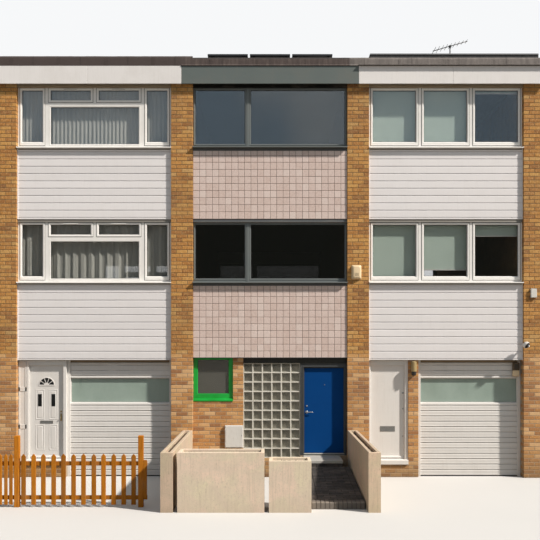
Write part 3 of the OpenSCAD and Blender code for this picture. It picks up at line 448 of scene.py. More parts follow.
def wood_paint(name, light, dark, along, gloss=0.55, weather=0.3):
    """Boards with grain along one axis."""
    p = Paint(name, Roughness=gloss, Specular_IOR_Level=0.2)
    where = p.stretched(*(0.7 if axis == along else 9 for axis in "XYZ"))
    grain, fibre = p.noise(5, 6, 0.62, where, 1.2), p.noise(26, 4, 0.7, where)
    base = p.layers(p.mix(p.fade(grain, 0.32, 0.68), dark, light), (dim(dark, 0.5), fibre, 0.5, 0.8, 0.5))
    base = p.mix(1.0, base, p.ramp(p.tone, (0.0, 0.62), (1.0, 1.0)), "MULTIPLY")
    base = p.layers(base, ((0.30, 0.26, 0.21), p.noise(3.5, 4), 0.5, 0.8, weather))
    normal = p.bump(grain, 0.002, 0.5, p.bump(fibre, 0.0012, 0.7))
    return p.done(base, p.ramp(grain, (0.3, gloss), (0.8, min(1, gloss + 0.25))), normal)


def cloth_paint(name, colour, weave, cover=1.0):
    """Woven cloth with its threads; where cover is below 1 it shows what is behind it."""
    p = Paint(name, Roughness=0.9, Sheen_Weight=0.2, Alpha=cover)
    warp, weft = (p.sums("SINE", p.times(p.axis(axis), 2 * math.pi / weave)) for axis in "XZ")
    thread = p.sums("MAXIMUM", warp, weft)
    base = p.layers(p.mix(p.noise(3, 4), dim(colour, 0.85), colour), (dim(colour, 0.55), thread, 0.6, -0.4, 0.35))
    return p.done(base, None, p.bump(thread, 0.0005, 0.6))


def frosted_paint():
    """Obscured glass: an even grey-green with a fine sparkle."""
    p = Paint("frosted_glass", Roughness=0.30, Coat_Weight=0.3, Coat_Roughness=0.12)
    cloud, grit = p.noise(2.2, 4, 0.6, p.stretched(1, 1, 0.6)), p.noise(340, 2)
    base = p.layers(p.mix(p.fade(cloud, 0.3, 0.7), (0.25, 0.325, 0.285), (0.32, 0.405, 0.36)),
                    ((0.42, 0.47, 0.41), grit, 0.5, 0.8, 0.25))
    return p.done(base, p.ramp(cloud, (0.3, 0.26), (0.7, 0.38)), p.bump(grit, 0.0008, 0.5))


# Brickwork


def courses(low, high):
    """Brick courses between two heights, all counted from the ground."""
    for k in range(int(low // COURSE), math.ceil(high / COURSE)):
        z0, z1 = max(low, k * COURSE + JOINT), min(high, (k + 1) * COURSE)
        if z1 - z0 > 0.015:
            yield k, z0, z1


def brick(shape, rng, x0, x1, d0, d1, z0, z1):
    """One brick, a little out of true, with its own tone."""
    slip = [rng.uniform(0, 0.0016) for _ in range(5)]
    shape.box((x0 + slip[0], d0 + slip[1], z0 + slip[2]), (x1 - slip[3], d1 - 0.0005, z1 - slip[4]),
              rng.uniform(0.0025, 0.0045), rng.random())


def stretchers(shape, rng, x0, x1, low, high, d, bond_from):
    """A stretcher-bond wall face between two heights; slivers are joined to the brick before."""
    step = BRICK_L + JOINT
    for k, z0, z1 in courses(low, high):
        first = bond_from - (step / 2 if k % 2 else 0)
        n = math.floor((x0 - first) / step)
        edges = []
        while first + n * step < x1:
            a, b = max(x0, first + n * step), min(x1, first + (n + 1) * step - JOINT)
            if b - a > 0.05:
                edges.append([a, b])
            elif edges and b > edges[-1][1]:
                edges[-1][1] = b
            n += 1
        if edges and edges[0][0] - x0 > 0.005:
            edges[0][0] = x0
        for a, b in edges:
            brick(shape, rng, a, b, d, d + BRICK_W, z0, z1)


def core(shape, x0, x1, d0, d1, z0, z1):
    """Mortar body behind the brick faces."""
    shape.box((x0, d0, z0), (x1, d1, z1), 0.0005, 0.5, 1)


def pier_end(shape, rng, x0, x1, swap):
    """The end of a cross wall: two stretchers, then two corner headers with a stretcher between."""
    for k, z0, z1 in courses(0, WALL_TOP):
        if (k + swap) % 2:
            bricks = ((x0, x0 + BRICK_L, BRICK_W), (x1 - BRICK_L, x1, BRICK_W))
        else:
            bricks = ((x0, x0 + BRICK_W, BRICK_L), (x0 + BRICK_W + JOINT, x1 - BRICK_W - JOINT, BRICK_W),
                      (x1 - BRICK_W, x1, BRICK_L))
        for a, b, deep in bricks:
            brick(shape, rng, a, b, 0, deep, z0, z1)


def cross_walls(looks):
    for rear, name in ((False, "Cross_Walls"), (True, "Rear_Pier_Bricks")):
        rng, shape = random.Random(21 + rear), Shape(rear)
        for i in range(4):
            x0 = -ROW_X + i * PITCH
            pier_end(shape, rng, x0, x0 + PIER, int(rear))
            if not rear:
                core(shape, x0 + MORTAR_IN, x0 + PIER - MORTAR_IN, MORTAR_IN, WALL_DEEP - MORTAR_IN, 0, WALL_TOP)
        shape.piece(name, looks, slot="brick", node="party_walls")
    units = round((WALL_DEEP + JOINT) / (BRICK_W + JOINT)) // 2 * 2 + 1
    unit = (WALL_DEEP + JOINT) / units
    for side, name in ((-1, "Left_End_Wall"), (1, "Right_End_Wall")):
        rng, shape = random.Random(31 + side), Shape()
        for k, z0, z1 in courses(0, WALL_TOP):
            start = 1 if k % 2 else 2
            for n in range(start, start + units - 3, 2):
                near, length = n * unit, 2 * unit - JOINT
                lean = rng.uniform(0.0, 0.0015)
                corner = (side * (ROW_X - MORTAR_IN) - side * lean, near if side > 0 else near + length, z0)
                shape.pad(corner, (0, side, 0), (0, 0, 1), (side, 0, 0), length, z1 - z0,
                          ((0, 0), (0.003, MORTAR_IN - lean)), rng.random())
        shape.piece(name, looks[0], slot="brick", node="party_walls")


def infill_brickwork(looks):
    """Brick fronts in the openings: middle house, door bases, narrow pier, and aprons at the rear."""
    rng, shape = random.Random(5), Shape()
    left, right, d0, d1, _, top = span("middle_brickwork")
    _, green_x, _, _, green_z, _ = span("green_window")
    screen_x, _, _, _, screen_z, _ = span("glass_block_screen")
    inner = d0 + MORTAR_IN
    fields = ((left, right, 0, screen_z), (left, screen_x, screen_z, green_z), (green_x, screen_x, green_z, top))
    for a, b, low, high in fields:
        stretchers(shape, rng, a, b, low, high, d0, left)
    for a, b, low, high in fields:
        core(shape, a, b, inner, d1, low + 0.0005 if low else 0, high)
    shape.piece("Middle_Brickwork", looks, slot="brick")

    shape = Shape()
    for house in ("left", "right", "middle"):
        a, b, _, _, top, _ = span(f"{house}_door_frame")
        if house != "middle":
            stretchers(shape, rng, a, b, 0, top, d0, a)
        core(shape, a, b, inner, d1, 0, top)
    shape.piece("Door_Bases", looks, slot="brick")

    shape = Shape()
    a, b, _, _, _, top = span("narrow_pier")
    half_brick = (b - a - JOINT) / 2
    for k, z0, z1 in courses(0, top):
        if k % 2:
            brick(shape, rng, a, b, d0, d0 + BRICK_W, z0, z1)
        else:
            brick(shape, rng, a, a + half_brick, d0, d1, z0, z1)
            brick(shape, rng, b - half_brick, b, d0, d1, z0, z1)
    core(shape, a + MORTAR_IN, b - MORTAR_IN, inner, d1, 0, top)
    shape.piece("Narrow_Pier", looks, slot="brick")

    shape, top = Shape(rear=True), span("rear_apron_walls")[5]
    for x in HOUSES.values():
        stretchers(shape, rng, x - HALF, x + HALF, 0, top, d0, x - HALF)
        core(shape, x - HALF, x + HALF, inner, d1, 0, top)
    shape.piece("Rear_Apron_Walls", looks, slot="brick")


# Cladding

BOARD, TOP_BOARD = 0.153, (0.041, 0.058)
CLAD, PANEL = 0.060, 0.100
TILE_FACE = span("tile_panels")[2]
TILE_COLUMNS, TILE_ROW, TILE_GAP = 24, 0.148, 0.007
SILLS = (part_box("middle_lower_window")[0].z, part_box("middle_upper_window")[0].z)
WINDOW_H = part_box("middle_upper_window")[1].z - SILLS[1]
REAR_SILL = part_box("rear_dark_windows")[0].z
HEAD_TRIM = 0.060


def clad_spans(foot):
    """(rear, low, high) of the panels of a house whose front cladding starts at foot."""
    upper = SILLS[0] + WINDOW_H + HEAD_TRIM
    return [(False, foot, SILLS[0]), (False, upper, SILLS[1]),
            (True, REAR_SILL + WINDOW_H + HEAD_TRIM, SILLS[0]), (True, upper, SILLS[1])]


def board_profile(z0, z1):
    """Shiplap board: rounded foot, flat face, and a sloping shoulder at its head under the next board."""
    k = min(1.0, (z1 - z0) / 0.060)
    foot = [(PANEL, z0 + 0.001), (CLAD + 0.0035, z0 + 0.001), (CLAD + 0.001, z0 + 0.002), (CLAD, z0 + 0.005 * k)]
    shoulder = ((0.0, 0.0240), (0.0006, 0.0220), (0.0022, 0.0170), (0.0060, 0.0145), (0.0110, 0.0135))
    return (foot + [(CLAD + back, z1 - down * k) for back, down in shoulder]
            + [(CLAD + 0.0115, z1 - 0.001), (PANEL, z1 - 0.001)])


def shiplap():
    white = board_paint("white_boards", (0.81, 0.79, 0.80), (0.46, 0.43, 0.40), 0.10, 0.14)
    for house in ("left", "right"):
        rng, node, x = random.Random(house), f"shiplap_{house}", HOUSES[house]
        faces = {"Front": Shape(), "Rear": Shape(rear=True)}
        for rear, low, high in clad_spans(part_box(node)[0].z):
            shape = faces["Rear" if rear else "Front"]
            edges = [high, high - TOP_BOARD[high == SILLS[1]]]
            while edges[-1] - BOARD > low + 0.01:
                edges.append(edges[-1] - BOARD)
            edges.append(low)
            for top, bottom in zip(edges, edges[1:]):
                gap = rng.uniform(0.0, 0.002)
                shape.prism(board_profile(bottom, top), x - HALF + 0.006 + gap, x + HALF - 0.006 - gap,
                            rng.random())
            for side in (-1, 1):
                shape.box((x + side * HALF, CLAD - 0.008, low), (x + side * (HALF - 0.018), PANEL, high),
                          0.002, 1.0)
        for face, shape in faces.items():
            shape.piece(f"{house.title()}_{face}_Shiplap", white, slot="white_boards", node=node)


def tiles():
    grout = sandy_paint("tile_grout", 0.95, (14, 4), (0.14, 0.10, 0.085), (0.235, 0.175, 0.152), (300, 3), 0.0012)
    looks, rng = [tile_paint(), grout], random.Random(9)
    bed, w = TILE_FACE + 0.006, 2 * HALF / TILE_COLUMNS
    for wanted, name in ((False, "Front_Tiles"), (True, "Rear_Tiles")):
        shape = Shape(rear=wanted)
        for _, low, high in (one for one in clad_spans(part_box("tile_panels")[0].z) if one[0] == wanted):
            rows = round((high - low) / TILE_ROW)
            h = (high - low) / rows
            shape.box((-HALF, bed, low), (HALF, PANEL, high), 0.0005, 0.5, 1)
            for row, column in product(range(rows), range(TILE_COLUMNS)):
                start = (-HALF + column * w + TILE_GAP / 2, bed, low + row * h + TILE_GAP / 2)
                rise = 0.006 - rng.uniform(0, 0.0022)
                steps = ((0, 0), (0.0012, rise * 0.55), (0.0045, rise * 0.92), (0.011, rise))
                shape.pad(start, (1, 0, 0), (0, 0, 1), (0, -1, 0), w - TILE_GAP, h - TILE_GAP, steps, rng.random())
        shape.piece(name, looks, slot="pink_tile", node="tile_panels")


# Windows

# gap: width of the black band round each sash, widened on white windows as painted shade of the shadow gap.
WHITE = dict(rim=0.088, bar=0.168, head=0.050, sash=0.044, round=0.004, gap=0.009, sill=(0.6, -0.018), lower=0.45)
DARK = dict(rim=0.045, bar=0.126, head=0.045, sash=0.030, round=0.0015, gap=0.002, sill=(1.0, -0.070), lower=0.9)
SIDE_LIGHT, FANLIGHT, TRANSOM, DARK_LIGHT = 0.430, 0.205, 0.146, 1.036
FOOT_RAIL, SILL, CASEMENT_FOOT, VENT = 0.104, 0.030, 0.047, 0.15
WINDOW_FRONT, WINDOW_BACK = 0.097, 0.165
GLASS_FRONT, SHEET, UNIT, SPACER = 0.118, 0.004, 0.024, 0.009
GASKET = [(-0.0035, 0.120), (-0.0035, 0.115), (0.001, 0.1125), (0.001, 0.120)]
LIGHT_BACK = 0.121
BEAD = [(0, LIGHT_BACK), (0, 0.113), (0.012, 0.101), (0.016, 0.0935), (0.020, 0.0925), (0.024, 0.0935),
        (0.024, LIGHT_BACK)]


def light_columns(house):
    """(x0, x1) of the glass columns of a house's windows, from the window's middle."""
    if house == "left":
        a = -HALF + WHITE["rim"]
        b = a + SIDE_LIGHT
        c = b + WHITE["bar"]
        return [(a, b), (c, -c), (-b, -a)]
    if house == "middle":
        a = -HALF + DARK["rim"]
        b = a + DARK_LIGHT
        return [(a, b), (b + DARK["bar"], -a)]
    w = (2 * HALF - 2 * WHITE["rim"] - 2 * WHITE["bar"]) / 3
    starts = [-HALF + WHITE["rim"] + k * (w + WHITE["bar"]) for k in range(3)]
    return [(start, start + w) for start in starts]


def sash_ring(shape, rect, style, x, z, drop=0.0):
    """Raised sash round one light, with its sloping bead and black gaskets. The black band round the sash is a gasket,
    widened by the style's gap to paint the shadow gap between sash and frame as painted shade.
    """
    x0, z0, x1, z1 = place = (rect[0] + x, rect[1] + z, rect[2] + x, rect[3] + z)
    w, face = style["sash"], WINDOW_FRONT - 0.009
    shape.ring(place, [(0, LIGHT_BACK), (0, 0.113), (0.013, 0.102), (0.016, face + 0.002), (0.019, face),
                       (w - 0.004, face), (w, face + 0.004), (w, LIGHT_BACK)], 0.7)
    shape.ring(place, GASKET, 0.5, 1)
    # Black band round the sash: partly gasket, partly painted shade of the gap.
    out, low, high = w + style["gap"], WINDOW_FRONT - 0.0012, WINDOW_FRONT + 0.002
    shape.ring((x0, z0 - drop, x1, z1), [(w, high), (w, low), (out, low), (out, high)], 0.5, 1)


def bead_ring(shape, rect, x, z):
    """Glazing bead round a fixed light."""
    place = (rect[0] + x, rect[1] + z, rect[2] + x, rect[3] + z)
    shape.ring(place, BEAD, 0.75)
    shape.ring(place, GASKET, 0.5, 1)


def sill_board(shape, x, z, tone, out):
    """Sloping sill with a rounded nose, a drip groove and capped ends."""
    nose = ((0.022, 0.0), (0.020, 0.005), (0.014, 0.005), (0.012, 0.0), (0.003, 0.0), (0.0, 0.003), (0.0, 0.015),
            (0.004, 0.019))
    shape.prism([(WINDOW_BACK, z)] + [(out + back, z + up) for back, up in nose]
                + [(WINDOW_FRONT - 0.004, z + SILL - 0.001), (WINDOW_BACK, z + SILL)],
                x - HALF + 0.003, x + HALF - 0.003, tone)
    for side in (-1, 1):
        edge = x + side * HALF
        shape.box((edge, out - 0.001, z), (edge - side * 0.009, WINDOW_FRONT, z + SILL - 0.002), 0.002, tone)


def window(shape, house, z):
    """One whole window of a house with its sill at height z. Returns its panes as (x0, z0, x1, z1)."""
    x, style, columns = HOUSES[house], DARK if house == "middle" else WHITE, light_columns(house)
    white, lower = style is WHITE, style["lower"]
    top, low, head = WINDOW_H, FOOT_RAIL, WINDOW_H - style["head"]
    panes = []

    def bar(x0, z0, x1, z1, tone=0.45):
        shape.box((x + x0, WINDOW_FRONT, z + z0), (x + x1, WINDOW_BACK, z + z1), style["round"], tone)

    edges = [-HALF] + [e for column in columns for e in column] + [HALF]
    for x0, x1 in zip(edges[::2], edges[1::2]):
        bar(x0, SILL, x1, top, 0.45 if x0 == -HALF or x1 == HALF else lower)
    for x0, x1 in columns:
        bar(x0, head, x1, top)
        bar(x0, SILL, x1, low, lower)
    for n, (x0, x1) in enumerate(columns):
        if house == "left" and n == 1:
            split, mid = head - FANLIGHT, WHITE["bar"] / 2
            bar(x0, split - TRANSOM, x1, split)
            bar(-mid, split, mid, head)
            panes.append((x0, low, x1, split - TRANSOM))
            bead_ring(shape, panes[-1], x, z)
            for fan in ((x0, split, -mid, head), (mid, split, x1, head)):
                sash_ring(shape, fan, style, x, z)
                panes.append(fan)
                centre, vent = x + (fan[0] + fan[2]) / 2, z + head
                shape.box((centre - VENT, WINDOW_FRONT - 0.022, vent + 0.010),
                          (centre + VENT, WINDOW_FRONT, vent + 0.030), 0.005, 0.3)
                shape.box((centre - VENT + 0.012, WINDOW_FRONT - 0.0225, vent + 0.012),
                          (centre + VENT - 0.012, WINDOW_FRONT - 0.010, vent + 0.016), 0.001, 0.5, 1)
            continue
        foot = low + (CASEMENT_FOOT if white else 0)
        panes.append((x0, foot, x1, head))
        sash_ring(shape, panes[-1], style, x, z, foot - low - 0.014 if white else 0)
        if white:
            shape.box((x + x0 - 0.043, WINDOW_FRONT - 0.0085, z + low - 0.030),
                      (x + x1 + 0.043, LIGHT_BACK, z + foot - 0.040), 0.003, 0.7)
    if not white:
        mullion = (columns[0][1] + columns[1][0]) / 2
        for wide, out in ((0.030, 0.008), (0.012, 0.014)):
            shape.box((x + mullion - wide, WINDOW_FRONT - out, z + SILL + 0.002),
                      (x + mullion + wide, WINDOW_FRONT, z + top), 0.001, 1.0)
        grip = x + columns[0][1] - 0.028
        shape.box((grip - 0.011, 0.146, z + 0.56), (grip + 0.011, 0.172, z + 0.63), 0.003, 0.6, 2)
        shape.box((grip - 0.008, 0.166, z + 0.50), (grip + 0.008, 0.186, z + 0.61), 0.005, 0.6, 2)
    sill_board(shape, x, z, *style["sill"])
    return [(x + x0, z + z0, x + x1, z + z1) for x0, z0, x1, z1 in panes]


def glaze(shape, panes):
    """Sealed units: two sheets of glass and the spacer bar between their edges."""
    back = GLASS_FRONT + UNIT - SHEET
    for x0, z0, x1, z1 in panes:
        for front in (GLASS_FRONT, back):
            shape.box((x0, front, z0), (x1, front + SHEET, z1), 0.0004)
        shape.ring((x0, z0, x1, z1), [(-SPACER, back), (-SPACER, GLASS_FRONT + SHEET), (0, GLASS_FRONT + SHEET),
                                      (0, back)], 0.5, 2)


def windows(white, dark, rubber, metal):
    spacer = plain_paint("spacer_bar", (0.12, 0.12, 0.12), 0.5, 0.6)
    clear = glass_paint("clear_glass", (0.66, 0.68, 0.68), 0.07)
    tinted = glass_paint("tinted_glass", (0.33, 0.34, 0.34), 0.27)
    dark_glass = glass_paint("dark_glass", (0.18, 0.19, 0.19), 0.55)
    jobs = [(f"{house}_{level}", "Window", (house,), (z,)) for house in HOUSES
            for level, z in zip(("lower", "upper"), SILLS)]
    jobs += [("rear_white", "Windows", ("left", "right"), (REAR_SILL, *SILLS)),
             ("rear_dark", "Windows", ("middle",), (REAR_SILL, *SILLS))]
    for name, kind, houses, feet in jobs:
        rear, middle = kind == "Windows", houses == ("middle",)
        shape, glass = Shape(rear), Shape(rear)
        for house, z in product(houses, feet):
            glaze(glass, window(shape, house, z))
        pane = clear if not middle else dark_glass if rear else tinted
        shape.piece(f"{name.title()}_{kind}", [dark if middle else white, rubber, metal],
                    slot="dark_frame" if middle else "white_frame", node=f"{name}_{kind.lower()}")
        glass.piece(f"{name.title()}_Glass", [pane, rubber, spacer], slot="window_glass", node="window_glass")


# Doors

SIDE_LEAF, MIDDLE_LEAF, LEAF_T, FRAME_DEEP = 0.185, 0.160, 0.044, 0.100
PIN_BACK, KNUCKLE_R, KNUCKLE_H, PLAY = 0.009, 0.007, 0.034, 0.0003
HINGE_END, FLAP, PIN_IN, GAP = 0.220, 0.034, 0.004, 0.008
SIDE_JAMBS, MIDDLE_JAMBS, SIDE_NOSE = (0.042, 0.064), (0.073, 0.051), 0.069
SEAL, METAL, PLATE, PANE, BRASS = 1, 2, 3, 4, 5  # parts of the side doors, in the order of their looks


def hinges(shape, x, back, low, high, side, leaf):
    """Knuckles and flaps of three hinges: the outer knuckles on the leaf, the middle one on the frame."""
    r, h, ease = KNUCKLE_R, KNUCKLE_H, 0.0008
    knuckle = [(0, r - ease), (ease, r), (h - ease, r), (h, r - ease)]
    for z in (low + HINGE_END, (low + high) / 2, high - HINGE_END):
        for shift in ((-1, 1) if leaf else (0,)):
            foot = z + shift * (h + PLAY)
            shape.turned((x, back + PIN_BACK, foot), (0, 0, 1), knuckle, 20, 0.6, METAL)
            shape.box((x, back - 0.0005, foot), (x + side * FLAP, back + PIN_BACK, foot + h), 0.001, 0.6, METAL)


def knob(shape, x, d, z, r, out, part, tone=0.6):
    """Round fitting that stands out from a face at depth d, with a rounded rim."""
    profile = [(0, r), (0.001 + out * 0.55, r), (0.001 + out * 0.9, r * 0.88), (0.001 + out, r * 0.6)]
    shape.turned((x, d + 0.001, z), (0, -1, 0), profile, 28, tone, part)


def letter_plate(shape, x, d, z, w, h):
    """Letter plate: rim, sprung flap with its lower lip, and two screws."""
    x0, z0, x1, z1 = x - w / 2, z - h / 2, x + w / 2, z + h / 2
    rim = 0.012
    shape.ring((x0 + rim, z0 + rim, x1 - rim, z1 - rim),
               [(0, d), (0, d - 0.005), (0.003, d - 0.007), (0.009, d - 0.007), (rim, d - 0.003), (rim, d)], 0.5, PLATE)
    shape.box((x0 + 0.014, d - 0.004, z0 + 0.014), (x1 - 0.014, d, z1 - 0.014), 0.0015, 0.7, PLATE)
    shape.box((x0 + 0.022, d - 0.009, z0 + rim), (x1 - 0.022, d - 0.003, z0 + 0.018), 0.002, 0.7, PLATE)
    for side in (-1, 1):
        knob(shape, x + side * (w / 2 - 0.006), d - 0.007, z, 0.0032, 0.001, PLATE, 0.2)


def raised_panel(shape, rect, d):
    """Moulded panel planted on a leaf's face at depth d."""
    shape.ring(rect, [(0.0, d + 0.001), (-0.004, d - 0.004), (-0.010, d - 0.006), (-0.016, d - 0.003),
                      (-0.022, d - 0.0025), (-0.030, d + 0.001)], 0.6, closed=False)
    cut, face = 0.045, d - 0.0055
    x0, z0, x1, z1 = rect
    shape.ring((x0 + cut, z0 + cut, x1 - cut, z1 - cut), [(0.010, d + 0.001), (0, d - 0.005), (-0.002, face)],
               0.6, closed=False)
    plate(shape, (x0, z0, x1, z1), cut + 0.002, face, 0.6)


def plate(shape, rect, inset, d, tone, part=0):
    """Single face at depth d, inset from rect."""
    x0, z0, x1, z1 = (edge + side * inset for edge, side in zip(rect, (1, 1, -1, -1)))
    shape.add([(x0, d, z0), (x1, d, z0), (x1, d, z1), (x0, d, z1)], [[0, 1, 2, 3]], tone, part)


def door_frame(shape, x0, x1, jambs, leaf_y, foot, sill_top, head_z, head_h, nose):
    """Jambs and head with planted stops, and a sloping sill. Part 1 is the seal, part 3 a flat sill."""
    back = leaf_y + LEAF_T
    front = back - FRAME_DEEP
    a, b, top = x0 + jambs[0], x1 - jambs[1], head_z - head_h
    shape.box((x0, front, foot), (a, back, head_z), 0.003, 0.8)
    shape.box((b, front, foot), (x1, back, head_z), 0.003, 0.8)
    shape.box((a, front + 0.001, top), (b, back, head_z), 0.003, 0.65)
    stop_front, stop_back, w = leaf_y - 0.023, leaf_y - 0.005, 0.016
    for p, q, low in ((a, a + w, sill_top), (b - w, b, sill_top), (a + w, b - w, top - w)):
        shape.box((p, stop_front, low), (q, stop_back, top), 0.003, 0.9)
    for p, q in ((a + 0.001, a + 0.006), (b - 0.006, b - 0.001)):
        shape.box((p, stop_back, sill_top), (q, stop_back + 0.004, top), 0.001, 0.5, SEAL)
    if not nose:
        shape.box((a, front, foot), (b, back, sill_top), 0.003, 0.95, 3)
        return
    edge = front - nose
    shape.prism([(back, foot), (edge + 0.012, foot), (edge + 0.008, foot + 0.006), (edge + 0.003, foot),
                 (edge, foot + 0.003), (edge, sill_top - 0.026), (edge + 0.004, sill_top - 0.022),
                 (leaf_y - 0.024, sill_top - 0.004), (leaf_y - 0.020, sill_top), (back, sill_top)],
                x0 + 0.002, x1 - 0.002, 0.95)


def side_panel(shape, a, b, z0, z1):
    """Fixed panel beside a door frame, framed by stiles and two rails."""
    front = SIDE_LEAF + LEAF_T - FRAME_DEEP
    face, proud = front + 0.012, front + 0.002
    shape.box((a, front + 0.010, z0), (b, SIDE_LEAF + LEAF_T, z1), 0.003)
    for split in (0.36, 0.72):
        z = z0 + (z1 - z0) * split
        shape.box((a + 0.002, proud, z - 0.045), (b - 0.002, face, z + 0.045), 0.002, 0.7)
    for x in (a + 0.002, b - 0.032):
        shape.box((x, proud, z0 + 0.001), (x + 0.030, face, z1), 0.002, 0.7)


def side_door(house, looks):
    frame_x0, frame_x1, _, _, frame_z0, frame_z1 = span(f"{house}_door_frame")
    x0, x1, _, _, z0, z1 = span(f"{house}_door")
    x0 = x0 + KNUCKLE_R + PIN_IN
    left_edge, pin = x0 - GAP - SIDE_JAMBS[0], x0 - PIN_IN
    sill_top, head = z0 - GAP, z1 + GAP
    d, inside, middle = SIDE_LEAF, SIDE_LEAF + LEAF_T, (x0 + x1) / 2
    shape = Shape()
    door_frame(shape, left_edge, frame_x1, SIDE_JAMBS, d, frame_z0, sill_top, frame_z1, frame_z1 - head, SIDE_NOSE)
    hinges(shape, pin, inside, sill_top, head, -1, False)
    if left_edge - frame_x0 > 0.02:
        side_panel(shape, frame_x0, left_edge - 0.003, frame_z0, frame_z1)
    shape.piece(f"{house.title()}_Door_Frame", looks[:3], slot="white_door", node=f"{house}_door_frame")

    shape = Shape()
    shape.box((x0, d, z0), (x1, inside, z1), 0.003, 0.7)
    hinges(shape, pin, inside, sill_top, head, 1, True)
    drip = ((0, 0.012), (0.020, 0.012), (0.022, 0.016), (0.020, 0.024), (0.004, 0.052), (0, 0.054))
    shape.prism([(d - out, z0 + up) for out, up in drip], x0 + 0.026, x1 - 0.026, 0.9)
    if house == "right":
        letter_plate(shape, middle + 0.005, d, z0 + 0.618, 0.312, 0.112)
        for up, r in ((0.463, 0.013), (1.043, 0.014), (1.372, 0.019)):
            knob(shape, x1 - 0.028, d, z0 + up, r, 0.010, PLATE)
            knob(shape, x1 - 0.028, d - 0.009, z0 + up, r * 0.55, 0.003, METAL)
    else:
        w, foot = x1 - x0, z0 + 0.17
        for side in (-1, 1):
            cx = middle + side * w * 0.2
            for low, high in ((0, 0.54), (0.64, 1.28)):
                raised_panel(shape, (cx - w * 0.13, foot + low, cx + w * 0.13, foot + high), d)
            shape.box((cx - 0.040, d - 0.0075, foot + 0.92), (cx + 0.040, d - 0.004, foot + 1.18), 0.001, 0.5, PANE)
        letter_plate(shape, middle, d - 0.001, foot + 0.59, 0.27, 0.060)
        sunburst(shape, middle, d, z1 - 0.420, w * 0.245)
        knob(shape, x1 - 0.050, d, z0 + 0.98, 0.018, 0.012, BRASS)
        shape.box((x1 - 0.066, d - 0.008, z0 + 0.78), (x1 - 0.034, d, z0 + 0.94), 0.004, 0.6, BRASS)
        knob(shape, x1 - 0.050, d - 0.007, z0 + 0.85, 0.013, 0.040, BRASS)
    shape.box((x1 - 0.10, inside, z0 + 0.88), (x1 - 0.02, inside + 0.022, z0 + 0.97), 0.004, 0.5, PLATE)
    shape.box((middle - 0.14, inside, z0 + 0.74), (middle + 0.14, inside + 0.010, z0 + 0.82), 0.003, 0.5, PLATE)
    shape.piece(f"{house.title()}_Door", looks, f"{house}_door", slot="white_door", node=f"{house}_door", smooth=32)


def middle_door(blue, steel, rubber, metal):
    frame_x0, frame_x1, _, _, frame_z0, frame_z1 = span("middle_door_frame")
    x0, x1, _, _, z0, z1 = span("middle_door")
    x1 = x1 - KNUCKLE_R - PIN_IN
    pin, sill_top, head = x1 + PIN_IN, z0 - GAP, z1 + GAP
    d, back = MIDDLE_LEAF, MIDDLE_LEAF + LEAF_T
    shape = Shape()
    door_frame(shape, frame_x0, frame_x1, MIDDLE_JAMBS, d, frame_z0, sill_top, frame_z1, frame_z1 - head, 0)
    hinges(shape, pin, back, sill_top, head, 1, False)
    shape.ring((frame_x0 + MIDDLE_JAMBS[0], sill_top, frame_x1 - MIDDLE_JAMBS[1], head),
               [(0.010, back - 0.0995), (0.010, back - 0.104), (0.014, back - 0.106), (0.022, back - 0.106),
                (0.026, back - 0.104), (0.026, back - 0.0995)], 1.0)
    sill = concrete_paint("door_sill", (0.50, 0.49, 0.465), (0.42, 0.41, 0.385), (0.28, 0.265, 0.24), 0.3, 0.0)
    shape.piece("Middle_Door_Frame", [steel, rubber, metal, sill], slot="steel_grey")

    shape = Shape()
    shape.box((x0, d, z0), (x1, back, z1), 0.003, 0.7)
    hinges(shape, pin, back, sill_top, head, -1, True)
    spy_x, lock_x, spy_z, lock_z = x0 + 0.52 * (x1 - x0), x0 + 0.060, z0 + 1.43, z0 + 0.985
    for fitting in ((spy_x, d, spy_z, 0.011, 0.006, 2), (spy_x, d - 0.005, spy_z, 0.006, 0.002, 1),
                    (lock_x, d, lock_z, 0.019, 0.008, 2), (lock_x, d - 0.007, lock_z, 0.010, 0.004, 2, 0.2)):
        knob(shape, *fitting)
    shape.box((lock_x - 0.02, back, z0 + 0.80), (lock_x + 0.02, back + 0.010, z0 + 1.02), 0.003, 0.6, 2)
    low = z0 + 0.857
    shape.turned((lock_x, back + 0.009, low), (0, 1, 0), [(0, 0.009), (0.035, 0.009), (0.036, 0.008)], 20, 0.6, 2)
    shape.box((lock_x - 0.009, back + 0.034, low - 0.009), (lock_x + 0.115, back + 0.050, low + 0.009),
              0.006, 0.6, 2)
    shape.piece("Middle_Door", [blue, rubber, metal], "middle_door", slot="blue_door", smooth=32)

    _, _, _, _, low, high = span("middle_door_handle")
    x, z, shape = x0 + 0.060, (low + high) / 2, Shape()
    for at, axis, profile, sides in (
            ((x, d + 0.0005, z), (0, -1, 0), [(0, 0.027), (0.0065, 0.027), (0.008, 0.0255), (0.0085, 0.022)], 36),
            ((x, d - 0.007, z), (0, -1, 0), [(0, 0.0115), (0.004, 0.0095), (0.034, 0.0088), (0.040, 0.0088)], 24),
            ((x - 0.009, d - 0.043, z), (1, 0, 0),
             [(0, 0.006), (0.002, 0.0085), (0.118, 0.0085), (0.130, 0.0078), (0.134, 0.005)], 24)):
        shape.turned(at, axis, profile, sides, 0.6)
    shape.piece("Middle_Door_Handle", [metal], "middle_door", slot="handle_metal",
                smooth=40)


def arc(x, d, z, r, steps):
    """Points of an upper half circle."""
    turns = [math.pi * k / steps for k in range(steps + 1)]
    return [(x + r * math.cos(turn), d, z + r * math.sin(turn)) for turn in turns]


def fan_faces(steps):
    return [[k + 1, k + 2, 0] for k in range(steps)]


